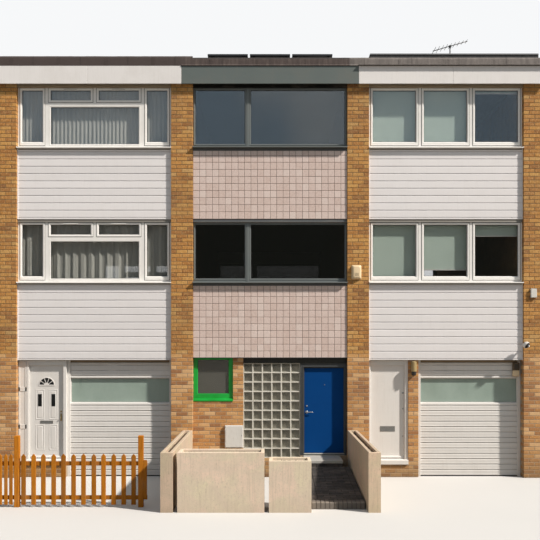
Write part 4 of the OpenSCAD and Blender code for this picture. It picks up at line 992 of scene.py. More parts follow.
def sunburst(shape, x, d, z, r):
    """Half-round light with a moulded rim, a hub and rays."""
    sides, inner, centre = 20, r - 0.018, Vector((x, 0, z))
    rim = ((r, 0.001), (r - 0.003, -0.006), (r - 0.014, -0.008), (r - 0.020, -0.002), (r - 0.020, 0.001))
    rings = [arc(x, d + back, z, radius, sides) for radius, back in rim]
    points = [ring[k] for k in range(sides + 1) for ring in rings]
    shape.add(points, [face[::-1] for face in grid(sides + 1, len(rim))], 0.8)
    shape.add([(x, d - 0.002, z)] + arc(x, d - 0.002, z, inner, sides), fan_faces(sides), 0.5, 4)
    shape.box((x - r, d - 0.008, z - 0.012), (x + r, d + 0.001, z + 0.012), 0.003, 0.8)
    for k in range(1, 5):
        turn = math.pi * k / 5
        ray = Vector((math.cos(turn), 0, math.sin(turn)))
        side = Vector((-ray.z, 0, ray.x)) * 0.006
        a, b = centre + ray * 0.05, centre + ray * inner
        corners = [a - side, b - side, b + side, a + side]
        shape.add([(c.x, d - out, c.z) for out in (0.002, 0.006) for c in corners],
                  [[4, 5, 6, 7], [0, 1, 5, 4], [1, 2, 6, 5], [2, 3, 7, 6], [3, 0, 4, 7]], 0.8)
    shape.add([(x, d - 0.007, z)] + arc(x, d - 0.007, z, 0.055, 10), fan_faces(10), 0.8)


# Garage fronts

SLAT, TOP_SLAT, HEAD_BOARD, KICK = 0.113, 0.058, 0.046, 0.018
SLAT_FACE = ((0.012, 0.001), (0.012, 0.007), (0.004, 0.009), (-0.002, 0.012), (-0.003, 0.018), (-0.002, 0.024),
             (0.001, 0.030))
SLAT_HEAD = ((0.001, 0.024), (0.0045, 0.012), (0.006, 0.007), (0.012, 0.004))


def garages(enamel, rubber):
    face, back, inner, rail_h = 0.225, 0.265, 0.300, 0.045
    _, _, _, _, glass_low, glass_high = span("garage_glass")
    _, pier_x, _, _, _, top = span("narrow_pier")
    shape, rng = Shape(), random.Random(3)
    for x0, x1 in ((span("left_door_frame")[1], -PITCH + HALF), (pier_x, PITCH + HALF)):
        a, b = x0 + 0.065, x1 - 0.060
        shape.box((x0, inner - 0.095, 0), (a, inner, top), 0.003, 0.9)
        shape.box((b, inner - 0.095, 0), (x1, inner, top), 0.003, 0.8)
        # Head board in brown timber: its dark brown stands in for the head in shadow, as painted shade.
        shape.box((a, face - 0.006, top - HEAD_BOARD), (b, inner - 0.010, top), 0.003, 0.5, 2)
        for low, high in ((KICK, glass_low), (glass_high, top - HEAD_BOARD)):
            cuts, slat = [high], TOP_SLAT
            while cuts[-1] - slat > low + 0.03:
                cuts.append(cuts[-1] - slat)
                slat = SLAT
            cuts.append(low)
            for z1, z0 in zip(cuts, cuts[1:]):
                profile = [(back, z0 + 0.001)] + [(face + out, z0 + up) for out, up in SLAT_FACE]
                profile += [(face + out, z1 - down) for out, down in SLAT_HEAD] + [(back, z1 - 0.001)]
                shape.prism(profile, a + 0.001, b - 0.001, rng.random())
        shape.box((a, face + 0.004, 0), (b, back, KICK), 0.002, 0.5, 1)
        for z in (glass_low - rail_h, glass_high):
            shape.box((a, back, z), (b, inner, z + rail_h), 0.002, 0.6)
        shape.ring((a, glass_low, b, glass_high), [(-0.010, 0.281), (-0.010, 0.273), (-0.007, 0.270), (0, 0.270)],
                   0.4, closed=False)
        shape.ring((a + 0.010, glass_low + 0.010, b - 0.010, glass_high - 0.010),
                   [(-0.003, 0.280), (-0.003, 0.276), (0.001, 0.274), (0.001, 0.280)], 0.5, 1)
    # Brown timber for the head board, as painted shade.
    painted_shade_head = wood_paint("garage_head_painted_shade", (0.36, 0.27, 0.18), (0.26, 0.19, 0.12), "X")
    shape.piece("Garage_Fronts", [enamel, rubber, painted_shade_head], slot="white_paint")


# Green window, glass blocks and lintel


def green_paint():
    p = Paint("green_frame", Roughness=0.38, Coat_Weight=0.2, Coat_Roughness=0.2)
    patch = p.noise(4, 4)
    base = p.mix(p.fade(patch, 0.35, 0.7), (0.004, 0.34, 0.035), (0.006, 0.43, 0.055))
    base = p.mix(p.tone, p.mix(1.0, base, (0.75, 0.75, 0.75), "MULTIPLY"), base)
    base = p.layers(base, ((0.05, 0.10, 0.04), p.noise(11, 4, 0.6, p.stretched(3, 3, 0.8)), 0.55, 0.8, 0.3))
    return p.done(base, p.ramp(patch, (0.3, 0.32), (0.7, 0.46)), p.bump(p.noise(300, 2), 0.0004, 0.4))


def green_window(rubber):
    x0, x1, lip, back, z0, z1 = span("green_window")
    out = lip + 0.055
    sight = out + 0.020
    rim, head, foot, nose, bead = 0.082, 0.030, 0.150, 0.060, 0.012
    rect = left, low, right, high = x0 + rim, z0 + foot, x1 - rim, z1 - head
    shape = Shape()
    for a, b, c, d in ((x0, left - bead, z0 + nose - 0.002, z1), (right + bead, x1, z0 + nose - 0.002, z1),
                       (left - bead, right + bead, high + bead, z1),
                       (left - bead, right + bead, z0 + nose - 0.002, low - bead)):
        shape.box((a, out, c), (b, back, d), 0.002, 0.7)
    shape.ring(rect, [(-0.010, sight), (-0.010, out + 0.014), (0, out + 0.010), (0, out + 0.004),
                      (0.003, out + 0.001), (bead - 0.002, out + 0.001), (bead, out + 0.003), (bead, back)], 0.7)
    shape.prism([(back, z0), (lip + 0.004, z0), (lip, z0 + 0.004), (lip, z0 + 0.040), (lip + 0.005, z0 + 0.046),
                 (out + 0.004, z0 + nose), (back, z0 + nose)], x0, x1, 1.0)
    shape.ring(rect, [(-0.013, sight), (-0.013, out + 0.017), (-0.009, out + 0.014), (-0.009, sight)], 0.5, 1)
    shape.box((left - 0.02, back - 0.010, low - 0.02), (right + 0.02, back - 0.001, high + 0.02), 0.001, 0.5, 2)
    shape.box((left - 0.002, sight, low - 0.002), (right + 0.002, out + 0.024, high + 0.002), 0.001, 0.5, 3)
    shelf = plain_paint("dark_lining", (0.03, 0.032, 0.032), 0.8)
    pane = glass_paint("green_window_glass", (0.66, 0.68, 0.68), 0.06)
    shape.piece("Green_Window", [green_paint(), rubber, shelf, pane], slot="green_frame")

    blind, rows, columns = Shape(), 10, 6
    drop, wide = (high - low) - 0.006, right - left - 0.004
    points = [(left + 0.002 + wide * c / columns, out + 0.042 + 0.0015 * math.sin(math.pi * r / rows),
               high - 0.002 - drop * r / rows) for r in range(rows + 1) for c in range(columns + 1)]
    blind.add(points, grid(rows + 1, columns + 1, flip=True))
    cloth = cloth_paint("grey_blind_cloth", (0.080, 0.078, 0.066), 0.0012)
    made = blind.piece("Green_Window_Blind", cloth, smooth=60)


def block_paints(x, z, w, h):
    """Looks of the inside, pale edges, joints and pane of a block. The inside is painted light: a lit and a dim copy of
    its colour, with each block painted darker towards its top left as painted shade; the pale edges are a painted
    highlight.
    """
    glass = Paint("glass_block_face", Roughness=0.07, IOR=1.7, Alpha=0.34)
    wave = glass.noise(20, 3, 0.5, None, 0.8)
    face = glass.done(glass.mix(glass.fade(wave, 0.4, 0.7), (0.15, 0.145, 0.12), (0.24, 0.23, 0.19)), None,
                      glass.bump(wave, 0.010, 0.7))
    p = Paint("glass_block_depth", Roughness=0.35)
    cloud = p.noise(11, 5, 0.7)
    across = p.sums("FRACT", p.times(p.sums("SUBTRACT", p.axis("X"), x), 1 / w))
    down = p.sums("SUBTRACT", 1.0, p.sums("FRACT", p.times(p.sums("SUBTRACT", p.axis("Z"), z), 1 / h)))
    # Painted light: slant runs from the painted shade at a block's top left to its lit bottom right.
    slant = p.sums("ADD", p.sums("ADD", across, down), p.times(p.sums("SUBTRACT", cloud, 0.5), 1.6))
    dim_side = p.ramp(p.tone, (0.0, (0.045, 0.042, 0.032)), (0.6, (0.09, 0.085, 0.066)), (1.0, (0.14, 0.13, 0.10)))
    lit_side = p.ramp(p.tone, (0.0, (0.20, 0.19, 0.15)), (0.6, (0.34, 0.32, 0.26)), (1.0, (0.46, 0.43, 0.36)))
    base = p.layers(p.mix(p.fade(slant, 0.45, 1.75), dim_side, lit_side),
                    ((0.50, 0.48, 0.41), p.cells(85), 0.30, 0.06, 0.3))
    inside = p.done(base, None, p.bump(cloud, 0.01, 0.7))
    # Painted highlight: the pale edges of each block.
    e = Paint("glass_block_edge", Roughness=0.3)
    edge = e.done(e.mix(e.noise(30, 3), (0.42, 0.41, 0.35), (0.60, 0.58, 0.50)), None,
                  e.bump(e.noise(60, 3), 0.002, 0.5))
    j = Paint("white_joint", Roughness=0.85)
    tint = j.mix(j.fade(j.noise(16, 4), 0.35, 0.7), (0.74, 0.71, 0.64), (0.86, 0.83, 0.76))
    tint = j.layers(tint, ((0.36, 0.33, 0.27), j.noise(3, 4, 0.6, j.stretched(3, 3, 1)), 0.5, 0.8, 0.45))
    return [inside, edge, j.done(tint, None, j.bump(j.noise(240, 3), 0.0012, 0.8)), face]


def glass_blocks():
    """Each block is a cell with pale edges and a darker depth behind a pillowed pane."""
    low_x, high_x, front, back, low_z, high_z = span("glass_block_screen")
    module, joint, recess, slope = 0.1986, 0.0095, 0.0035, 0.016
    columns, rows = round((high_x - low_x) / module), round((high_z - low_z) / module)
    w, h, deep = (high_x - low_x) / columns, (high_z - low_z) / rows, front + 0.050
    rng, shape = random.Random(17), Shape()
    pillow = ((0, 0), (0.001, 0.004), (0.005, 0.0075), (0.012, 0.008), (0.030, 0.0068), (0.060, 0.0065))
    hollow = ((0, 0), (0.002, 0.003), (0.010, 0.004), (0.030, 0.0034))
    shape.box((low_x, deep + 0.002, low_z), (high_x, back - recess, high_z), 0.0005, 0.5, 2)
    for edge in range(columns + 1):
        x = low_x + edge * w
        shape.box((max(low_x, x - joint), front + recess, low_z), (min(high_x, x + joint), deep + 0.002, high_z),
                  0.002, 0.5, 2)
    for c in range(columns):
        x0, x1 = low_x + c * w + joint, low_x + (c + 1) * w - joint
        for edge in range(rows + 1):
            z = low_z + edge * h
            shape.box((x0, front + recess, max(low_z, z - joint)), (x1, deep + 0.002, min(high_z, z + joint)),
                      0.002, 0.5, 2)
        for r in range(rows):
            z0, z1 = low_z + r * h + joint, low_z + (r + 1) * h - joint
            # The tone sets how light each block's painted light is: lighter towards the bottom row and the right, with
            # a random part.
            tone = min(1, max(0, 0.30 + 0.45 * (1 - r / rows) + 0.25 * c / columns + rng.uniform(-0.25, 0.25)))
            shape.ring((x0, z0, x1, z1), [(0, front + 0.006), (-0.003, front + 0.010), (-slope, deep)], tone, 1,
                       closed=False)
            plate(shape, (x0, z0, x1, z1), slope, deep, tone)
            shape.pad((x0, front + 0.008, z0), (1, 0, 0), (0, 0, 1), (0, -1, 0), x1 - x0, z1 - z0, pillow, tone, 3)
            shape.pad((x1, back - recess, z0), (-1, 0, 0), (0, 0, 1), (0, 1, 0), x1 - x0, z1 - z0, hollow, tone, 1)
    shape.piece("Glass_Block_Screen", block_paints(low_x, low_z, w, h), slot="glass_block")


def lintel():
    x0, x1, front, back, z0, z1 = span("steel_lintel")
    shape, web = Shape(), 0.010
    shape.box((x0, front + 0.024, z0 + web), (x1, back, z1 - web), 0.001, 0.3)
    for z in (z0, z1 - web):
        shape.box((x0, front, z), (x1, back, z + web), 0.0015, 0.7)
    for x in (x0 + 0.03, span("glass_block_screen")[1], x1 - 0.04):
        shape.box((x - 0.004, front + 0.004, z0 + web), (x + 0.004, front + 0.026, z1 - web), 0.001, 0.7)
    black = frame_paint("black_steel", (0.015, 0.0145, 0.009), (0.07, 0.06, 0.05), 0.5, 0.1, 0.5)
    shape.piece("Steel_Lintel", black, slot="steel_grey")


# Forecourt

TUB_WALL, SOIL_DROP, SOIL_CELL = 0.060, 0.050, 0.045
SMALL_TUB, TUB_GAP, SMALL_LOWER = 0.702, 0.075, 0.140
PAVER_STEP, PAVER_L, PAVER_W, PAVER_GAP, PAVER_EASE = 0.2235, 0.2125, 0.112, 0.008, 0.003
BORDER_L, BORDER_W, PAVER_RISE = 0.215, 0.1025 + PAVER_GAP, 0.010
RAMP_FOOT, RAMP_BED = 0.116, 0.012
LANDING_SLAB, LANDING_LIP = 0.055, 0.008


def tub(shape, x0, x1, d0, d1, h):
    """Open-topped box: outer faces, eased rim and inner faces down to below the soil."""
    ease, wall = 0.008, TUB_WALL
    steps = ((0, 0.0), (0, h - ease), (ease * 0.35, h - ease * 0.35), (ease, h), (wall - ease, h),
             (wall - ease * 0.35, h - ease * 0.35), (wall, h - ease), (wall, h - SOIL_DROP - 0.06))
    points = [(x, d, z) for i, z in steps
              for x, d in ((x0 + i, d0 + i), (x1 - i, d0 + i), (x1 - i, d1 - i), (x0 + i, d1 - i))]
    last = 4 * (len(steps) - 1)
    shape.add(points, grid(len(steps), 4, True) + [[3, 2, 1, 0], [last, last + 1, last + 2, last + 3]])


def soil_bed(shape, rng, x0, x1, d0, d1, z):
    """Lumpy soil that meets the planter's inner faces."""
    cols, rows = max(4, int((x1 - x0) / SOIL_CELL)), max(4, int((d1 - d0) / SOIL_CELL))
    points = []
    for r, c in product(range(rows + 1), range(cols + 1)):
        lump = rng.uniform(-0.012, 0.016) + 0.012 * min(c, cols - c, r, rows - r, 3) / 3
        points.append((x0 + (x1 - x0) * c / cols, d0 + (d1 - d0) * r / rows, z + lump))
    shape.add(points, grid(rows + 1, cols + 1))
    for _ in range(int((x1 - x0) * (d1 - d0) * 160)):
        x, d, s = rng.uniform(x0 + 0.02, x1 - 0.02), rng.uniform(d0 + 0.02, d1 - 0.02), rng.uniform(0.006, 0.016)
        shape.turned((x, d, z - 0.003 + s * 0.3), (rng.uniform(-0.3, 0.3), rng.uniform(-0.3, 0.3), 1),
                     [(0, s * 0.7), (s * 0.5, s), (s * 1.1, s * 0.8), (s * 1.5, s * 0.3)], 7, rng.random())


def planters():
    x0, x1, d0, d1, _, h = span("trough_walls")
    trough_w, front = x1 - (HALF + 0.005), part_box("trough_walls")[0].y
    troughs = [(x0, x0 + trough_w, d0, d1, h), (x1 - trough_w, x1, d0, d1, h)]
    x0, x1, d0, d1, _, h = span("planter_boxes")
    small = x1 - SMALL_TUB
    boxes = [(x0, small - TUB_GAP, d0, d1, h), (small, x1, d0, d1, h - SMALL_LOWER)]
    newer = concrete_paint("cast_concrete", (0.80, 0.675, 0.535), (0.68, 0.565, 0.445), (0.50, 0.41, 0.31), 0.6, 0.3)
    older = concrete_paint("older_concrete", (0.75, 0.60, 0.44), (0.625, 0.495, 0.36), (0.425, 0.33, 0.23), 0.7, 0.4,
                           front)
    for name, tubs, look in (("Trough_Walls", troughs, older), ("Planter_Boxes", boxes, newer)):
        shape = Shape()
        for one in tubs:
            tub(shape, *one)
        shape.piece(name, look, slot="cast_concrete")
    rng, shape = random.Random(12), Shape()
    for x0, x1, a, b, h in troughs + boxes:
        soil_bed(shape, rng, x0 + TUB_WALL, x1 - TUB_WALL, a + TUB_WALL, b - TUB_WALL, h - SOIL_DROP - 0.008)
    p = Paint("soil", Roughness=0.97)
    clod = p.noise(38, 5, 0.7)
    base = p.ramp(clod, (0.3, (0.05, 0.032, 0.02)), (0.55, (0.115, 0.075, 0.045)), (0.8, (0.21, 0.15, 0.10)))
    base = p.layers(base, ((0.30, 0.24, 0.17), p.cells(130), 0.12, 0.05))
    shape.piece("Planter_Soil", p.done(base, None, p.bump(clod, 0.012, 0.9)), slot="soil",
                smooth=70)


def paver_paint():
    p = Paint("dark_pavers", Roughness=0.8)
    base = p.ramp(p.tone, (0.0, (0.020, 0.018, 0.0175)), (0.4, (0.033, 0.029, 0.028)), (0.8, (0.052, 0.045, 0.041)),
                  (1.0, (0.088, 0.074, 0.065)))
    blotch = p.noise(20, 4, 0.6)
    base = p.layers(base, ((0.14, 0.115, 0.095), blotch, 0.5, 0.8, 0.6))
    dust = p.times(p.fade(p.noise(2.5, 4), 0.45, 0.8), 0.18)
    # Painted sunlight: the soldier row at the foot of the ramp is mixed to the pale colour, which elsewhere stands for
    # dust.
    foot = p.times(p.fade(p.axis("Z"), 0.131, 0.112), 0.8)
    foot = p.times(foot, p.sums("ADD", p.times(p.fade(p.axis("Z"), 0.098, 0.104), 0.35), 0.65))
    base = p.mix(p.sums("MAXIMUM", dust, foot), base, (0.31, 0.27, 0.23))
    return p.done(base, p.ramp(blotch, (0.3, 0.66), (0.8, 0.92)), p.bump(p.noise(230, 4, 0.65), 0.0018, 0.8))


def landing(pavers, sand, rng):
    """Precast slab on low walls of pavers."""
    shape = Shape()
    x0, x1, d0, d1, _, top = span("entrance_landing")
    foot, riser, left, right = top - LANDING_SLAB, d0 + 0.012, x0 + LANDING_LIP, x1 - LANDING_LIP
    shape.box((x0, d0, foot), (x1, d1, top), 0.006)
    core(shape, left, right, riser, d1, 0, foot)
    for k, z0, z1 in courses(0, foot):
        n = 0
        while n * PAVER_STEP < x1 - x0 - 0.03:
            a = left + n * PAVER_STEP - (PAVER_W if k % 2 else 0)
            b = min(right, a + PAVER_L)
            a = max(a, left)
            if b - a > 0.03:
                shape.box((a, riser - 0.005, z0), (b, riser + 0.09, z1), PAVER_EASE, rng.random(), 2)
            n += 1
        for edge in (left, right):
            start = riser + 0.11
            while start < d1 - 0.05:
                shape.box((edge - 0.02, start, z0), (edge + 0.02, min(d1, start + PAVER_L), z1), PAVER_EASE,
                          rng.random(), 2)
                start += PAVER_STEP
    pale = concrete_paint("pale_precast", (0.50, 0.49, 0.47), (0.40, 0.39, 0.37), (0.27, 0.26, 0.24), 0.35, 0.0)
    shape.piece("Entrance_Landing", [pale, sand, pavers], slot="landing_concrete")


def ramp(pavers, sand, rng):
    """Sloping bed with a soldier row at its foot, borders at its sides and a stretcher bond between them."""
    x0, x1, d0, d1, _, head = span("entrance_ramp")
    bed, foot, gap, wide = RAMP_BED, RAMP_FOOT, PAVER_GAP, x1 - x0
    run = math.hypot(d1 - d0, head - foot)
    along, up = Vector((1, 0, 0)), Vector((0, (d1 - d0) / run, (head - foot) / run))
    out, origin = Vector((0, -up.z, up.y)), Vector((x0, d0, foot - PAVER_RISE - 0.001))
    shape = Shape()
    side = ((d0 + bed, 0), (d1, 0), (d1, head - bed), (d0 + bed, foot - bed))
    shape.add([(x, d, z) for x in (x0, x1) for d, z in side],
              [[3, 2, 1, 0], [4, 5, 6, 7], [0, 1, 5, 4], [1, 2, 6, 5], [2, 3, 7, 6], [3, 0, 4, 7]], 0.5, 1)

    def paver(s, t, w, h):
        rise = PAVER_RISE - rng.uniform(0, 0.002)
        shape.pad(origin + along * s + up * t, along, up, out, w, h, ((0, 0), (0.0008, rise * 0.7), (0.004, rise)),
                  rng.random())

    count = round(wide / (0.065 + gap))
    step = wide / count
    for k in range(count):
        paver(k * step + gap / 2, 0.001, step - gap, BORDER_L - gap)
        shape.box((x0 + k * step + gap / 2, d0, 0.0),
                  (x0 + (k + 1) * step - gap / 2, d0 + bed + 0.004, foot - PAVER_RISE), PAVER_EASE, rng.random())
    rows = round((run - BORDER_L) / BORDER_W)
    row_h, inner_w = (run - BORDER_L) / rows, wide - 2 * BORDER_W
    inner_l = inner_w / round(inner_w / (BORDER_L + gap))
    for r in range(rows):
        t = BORDER_L + r * row_h
        if r % 2 == 0:
            for s in (gap / 2, wide - BORDER_W + gap / 2):
                paver(s, t, BORDER_W - gap, min(2, rows - r) * row_h - gap)
        s = -inner_l / 2 if r % 2 else 0.0
        while s < inner_w - 0.01:
            a, b = max(0.0, s), min(inner_w, s + inner_l)
            if b - a > 0.03:
                paver(BORDER_W + a + gap / 2, t, b - a - gap, row_h - gap)
            s += inner_l
    for side, x in ((-1, x0), (1, x1)):
        for k in range(int((d1 - d0) / PAVER_STEP)):
            a = d0 + 0.02 + k * PAVER_STEP
            slope = foot + (head - foot) * (a - d0) / (d1 - d0)
            for level in range(int((slope - 0.03) / COURSE)):
                shape.box((x - side * 0.03, a, level * COURSE + 0.008), (x, a + PAVER_L, (level + 1) * COURSE),
                          PAVER_EASE, rng.random())
    shape.piece("Entrance_Ramp", [pavers, sand], slot="ramp_brick")


def entrance():
    pavers, rng = paver_paint(), random.Random(44)
    sand = sandy_paint("joint_sand", 0.96, (9, 4, 0.6), (0.040, 0.034, 0.030), (0.085, 0.070, 0.056),
                       (120, 4, 0.7), 0.002)
    landing(pavers, sand, rng)
    ramp(pavers, sand, rng)


# Fence

PICKET = dict(foot=0.045, height=0.915, tip=0.045, thick=0.018, ease=0.0025)
POST, BAY, POST_CAP = 0.085, 2.114, 0.010
END_BOARD_W, END_BOARD_Z, END_BOARD_H = 0.067, 0.161, 0.647
BAYS = ((0.057, 0.090), (0.078, 0.171))


def picket(shape, a, w, face, tone, drop, nail):
    """Pointed picket with eased front edges, its left side at a, nailed to both rails."""
    e, front, foot = PICKET["ease"], face - PICKET["thick"], PICKET["foot"]
    top = PICKET["height"] - drop
    shoulder, mid = top - PICKET["tip"], a + w / 2
    outline = [(a, foot), (a + w, foot), (a + w, shoulder), (mid + 0.006, top - 0.003), (mid - 0.006, top - 0.003),
               (a, shoulder)]
    middle_z = (foot + shoulder) / 2
    inner = [(x + (e if x < mid else -e), z + (e if z < middle_z else -e)) for x, z in outline]
    loops = ((inner, front), (outline, front + e), (outline, face - 0.0004))
    points = [(x, d, z) for loop, d in loops for x, z in loop]
    n = len(outline)
    sides = [[at + (i + 1) % n, at + i, at + n + i, at + n + (i + 1) % n] for at in (0, n) for i in range(n)]
    shape.add(points, [list(range(n))] + sides + [[2 * n + i for i in range(n)][::-1]], tone)
    for z, side in product((0.165, 0.745), (-0.22, 0.22)):
        knob(shape, mid + side * w, front + 0.0004, z + nail, 0.0035, 0.0004, 1)


def picket_fence():
    look = wood_paint("stained_pickets", (0.64, 0.235, 0.014), (0.42, 0.135, 0.009), "Z", 0.62, 0.16)
    nail = plain_paint("fence_nails", (0.16, 0.13, 0.11), 0.5, 0.7)
    x0, x1, d0, _, _, top = span("picket_fence")
    face, last = d0 + PICKET["thick"], x1 - END_BOARD_W - POST
    front, posts = face - PICKET["thick"], [x0, last - BAY, last]
    rng, shape = random.Random(8), Shape()
    for x in posts:
        shape.box((x, front, 0), (x + POST, front + POST, top - POST_CAP), 0.004, rng.uniform(0.5, 1))
        slopes = ((0.001, 0.011), (0.004, 0.006), (0.010, 0.0))
        cap = [(front + back, top - down) for back, down in slopes]
        cap += [(front + POST - back, top - down) for back, down in slopes[::-1]]
        shape.prism(cap, x + 0.002, x + POST - 0.002, 0.9)
    for left, right, (w, step) in zip(posts, posts[1:], BAYS):
        left += POST
        count = int((right - left - w) / step + 1e-6)
        first = (left + right - w - count * step) / 2
        for k in range(count + 1):
            picket(shape, first + k * step + rng.uniform(-0.003, 0.003), w, face, rng.random(),
                   rng.uniform(0, 0.008), rng.uniform(-0.008, 0.008))
    shape.box((x1 - END_BOARD_W, front, END_BOARD_Z), (x1, face - 0.0004, END_BOARD_Z + END_BOARD_H), 0.003, 0.3)
    for z in (0.130, 0.710):
        shape.box((x0 + 0.001, face, z), (x1, face + 0.038, z + 0.070), 0.003, 0.35)
    shape.piece("Picket_Fence", [look, nail], slot="fence_wood")


# Roof

FASCIA_OUT, FASCIA_T, FASCIA_NAILS = 0.100, 0.025, 9
KERB_PROFILE = ((0.001, 0), (0, 0.012), (0, 0.128), (0.004, 0.146), (0.012, 0.162), (0.026, 0.176), (0.044, 0.186),
                (0.060, 0.190), (0.085, 0.189), (0.110, 0.182), (0.150, 0.150), (0.260, 0.0))
KERB_H, KERB_STEP, LAP_STEP, LAP_W = 0.190, 0.072, 0.98, 0.075
DRIP_EDGES = ((-PITCH / 2, PITCH / 2, 0.018), (PITCH / 2, ROW_X, 0.062))


def fascias():
    """Fascia boards with nails and joints, and the seal behind their top edge."""
    white = board_paint("white_fascia", (0.80, 0.78, 0.775), (0.46, 0.43, 0.39), 0.16, 0.25, 0.5)
    grey = board_paint("grey_fascia", (0.115, 0.140, 0.135), (0.16, 0.15, 0.125), 0.35, 0.4, 0.5)
    nails = plain_paint("fascia_nails", (0.24, 0.21, 0.18), 0.55, 0.6)
    seal = plain_paint("dark_seal", (0.035, 0.035, 0.035), 0.8)
    out, inside = -FASCIA_OUT, -FASCIA_OUT + FASCIA_T
    for house, rear in product(HOUSES, (False, True)):
        middle, node, shape = house == "middle", f"fascias_{house}", Shape(rear)
        x0, x1, _, _, z0, z1 = span(node)
        length, parts = x1 - x0, 1 if middle else 2
        for k in range(parts):
            a, b = x0 + length * k / parts, x0 + length * (k + 1) / parts
            shape.box((a + 0.001, out, z0), (b - 0.001, inside, z1), 0.004, 0.9 - 0.25 * k)
        for k, up in product(range(FASCIA_NAILS), (0.06, 0.30)):
            knob(shape, x0 + length * (k + 0.5) / FASCIA_NAILS, 0.0004 + out, z0 + up, 0.0042, 0.0002, 1)
        shape.box((x0, inside - 0.001, z1 - 0.030), (x1, inside + 0.006, z1 - 0.002), 0.001, 0.5, 2)
        shape.piece(f"{house.title()}_Fascia" + ("_Rear" if rear else ""), [grey if middle else white, nails, seal],
                    slot="grey_paint" if middle else "white_paint", node=node)


def kerb_run(shape, rng, start, end, front, base, extra):
    """One swept length of kerb, a little wavy, with its laps."""
    n, steps = len(KERB_PROFILE), round((end - start) / KERB_STEP)
    points, sag = [], 0.0
    for k in range(steps + 1):
        x = start + (end - start) * k / steps
        sag = 0.7 * sag + rng.uniform(-0.0012, 0.0012)
        for i, (back, z) in enumerate(KERB_PROFILE):
            inside = 0 < i < n - 1
            swell = 0.0025 + 0.8 * max(0.0, sag) if inside else 0
            height = z + (extra if z > 0.1 else 0) - (abs(sag) * 1.2 if inside else 0)
            points.append((x, front + back + swell, base + max(0, height)))
    base_faces = [[k * n + n - 1, (k + 1) * n + n - 1, (k + 1) * n, k * n] for k in range(steps)]
    ends = [list(range(n))[::-1], [steps * n + i for i in range(n)]]
    shape.add(points, grid(steps + 1, n, flip=True) + base_faces + ends)
    for x in np.arange(start + 0.35, end - 0.1, LAP_STEP):
        shape.box((x, front + 0.0004, base + 0.012), (x + LAP_W, front + 0.008, base + 0.132 + extra), 0.0012, 0.3)


def roof_kerbs(felt):
    _, _, front, _, base, top = span("roof_kerbs")
    rng, more = random.Random(61), top - base - KERB_H
    for rear, name in ((False, "Front_Roof_Kerb"), (True, "Rear_Roof_Kerb")):
        shape = Shape(rear)
        for start, end, extra in ((-ROW_X, -HALF, more), (-HALF, ROW_X, 0)):
            kerb_run(shape, rng, start, end, front, base, extra)
        shape.box((-ROW_X, front, base - 0.0005), (ROW_X, front + 0.012, base + 0.014), 0.003, 0.0)
        for start, end, proud in () if rear else DRIP_EDGES:
            edge = front - proud
            shape.prism([(front + 0.004, base + 0.034), (edge, base + 0.006), (edge, base), (edge + 0.003, base),
                         (front + 0.006, base + 0.026)], start, end, 0.2)
        shape.piece(name, felt, slot="kerb_felt", node="roof_kerbs", smooth=35)


def soffit():
    """Timber boards over the top windows, and a bead under the eaves; near black on the middle house."""
    looks = [wood_paint("brown_soffit", (0.52, 0.42, 0.30), (0.34, 0.265, 0.185), "X"),
             wood_paint("black_soffit", (0.012, 0.012, 0.011), (0.008, 0.008, 0.008), "X")]
    _, _, d0, _, z0, z1 = span("window_head_boards")
    for rear, name in ((False, "Window_Head_Boards"), (True, "Window_Head_Boards_Rear")):
        shape = Shape(rear)
        for house, x in HOUSES.items():
            part = int(house == "middle")
            shape.box((x - HALF, d0, z0), (x + HALF, PANEL, z1), 0.003, 0.6, part)
            shape.box((x - HALF, d0 - 0.006, z1 - 0.012), (x + HALF, d0 + 0.004, z1), 0.002, 0.3, part)
        shape.piece(name, looks, slot="stained_timber", node="window_head_boards")


def trims():
    """Folded metal over each lower window, between its head and the cladding, and at the foot of the cladding, and a
    dark strip under each sill that is painted shade.
    """
    pale = frame_paint("trim_metal", (0.21, 0.195, 0.17), (0.14, 0.125, 0.105), 0.5, 0.1, 0.4)
    dark = frame_paint("dark_trim", (0.10, 0.105, 0.11), (0.15, 0.14, 0.12), 0.45, 0.3, 0.4)
    fold = ((0.014, HEAD_TRIM), (0.014, 0.026), (0.008, 0.012), (0.006, 0.004), (0.008, 0.003), (0.016, 0.012))
    for (house, x), rear in product(HOUSES.items(), (False, True)):
        clad, bead, look, node = CLAD, 0.026, pale, f"shiplap_{house}"
        if house == "middle":
            clad, bead, look, node = TILE_FACE, 0.055, dark, "tile_panels"
        shape, x0, x1 = Shape(rear), x - HALF + 0.002, x + HALF - 0.002
        for foot in ((REAR_SILL, SILLS[0]) if rear else (SILLS[0],)):
            z = foot + WINDOW_H
            shape.prism([(PANEL + 0.001, z + HEAD_TRIM)] + [(clad + back, z + up) for back, up in fold]
                        + [(PANEL + 0.001, z + 0.014)], x0, x1, 0.6)
        # Dark strip under each sill: painted shade where the sill shades the cladding below it.
        for sill in SILLS:
            shape.box((x - HALF + 0.004, clad - 0.003, sill - bead), (x + HALF - 0.004, clad + 0.02, sill - 0.001))
        if not rear:
            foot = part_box(node)[0].z
            shape.box((x0, clad - 0.003, foot + 0.0005), (x1, clad + 0.03, foot + 0.012), 0.002, 0.6)
        shape.piece(f"{house.title()}_Trim" + ("_Rear" if rear else ""), look)


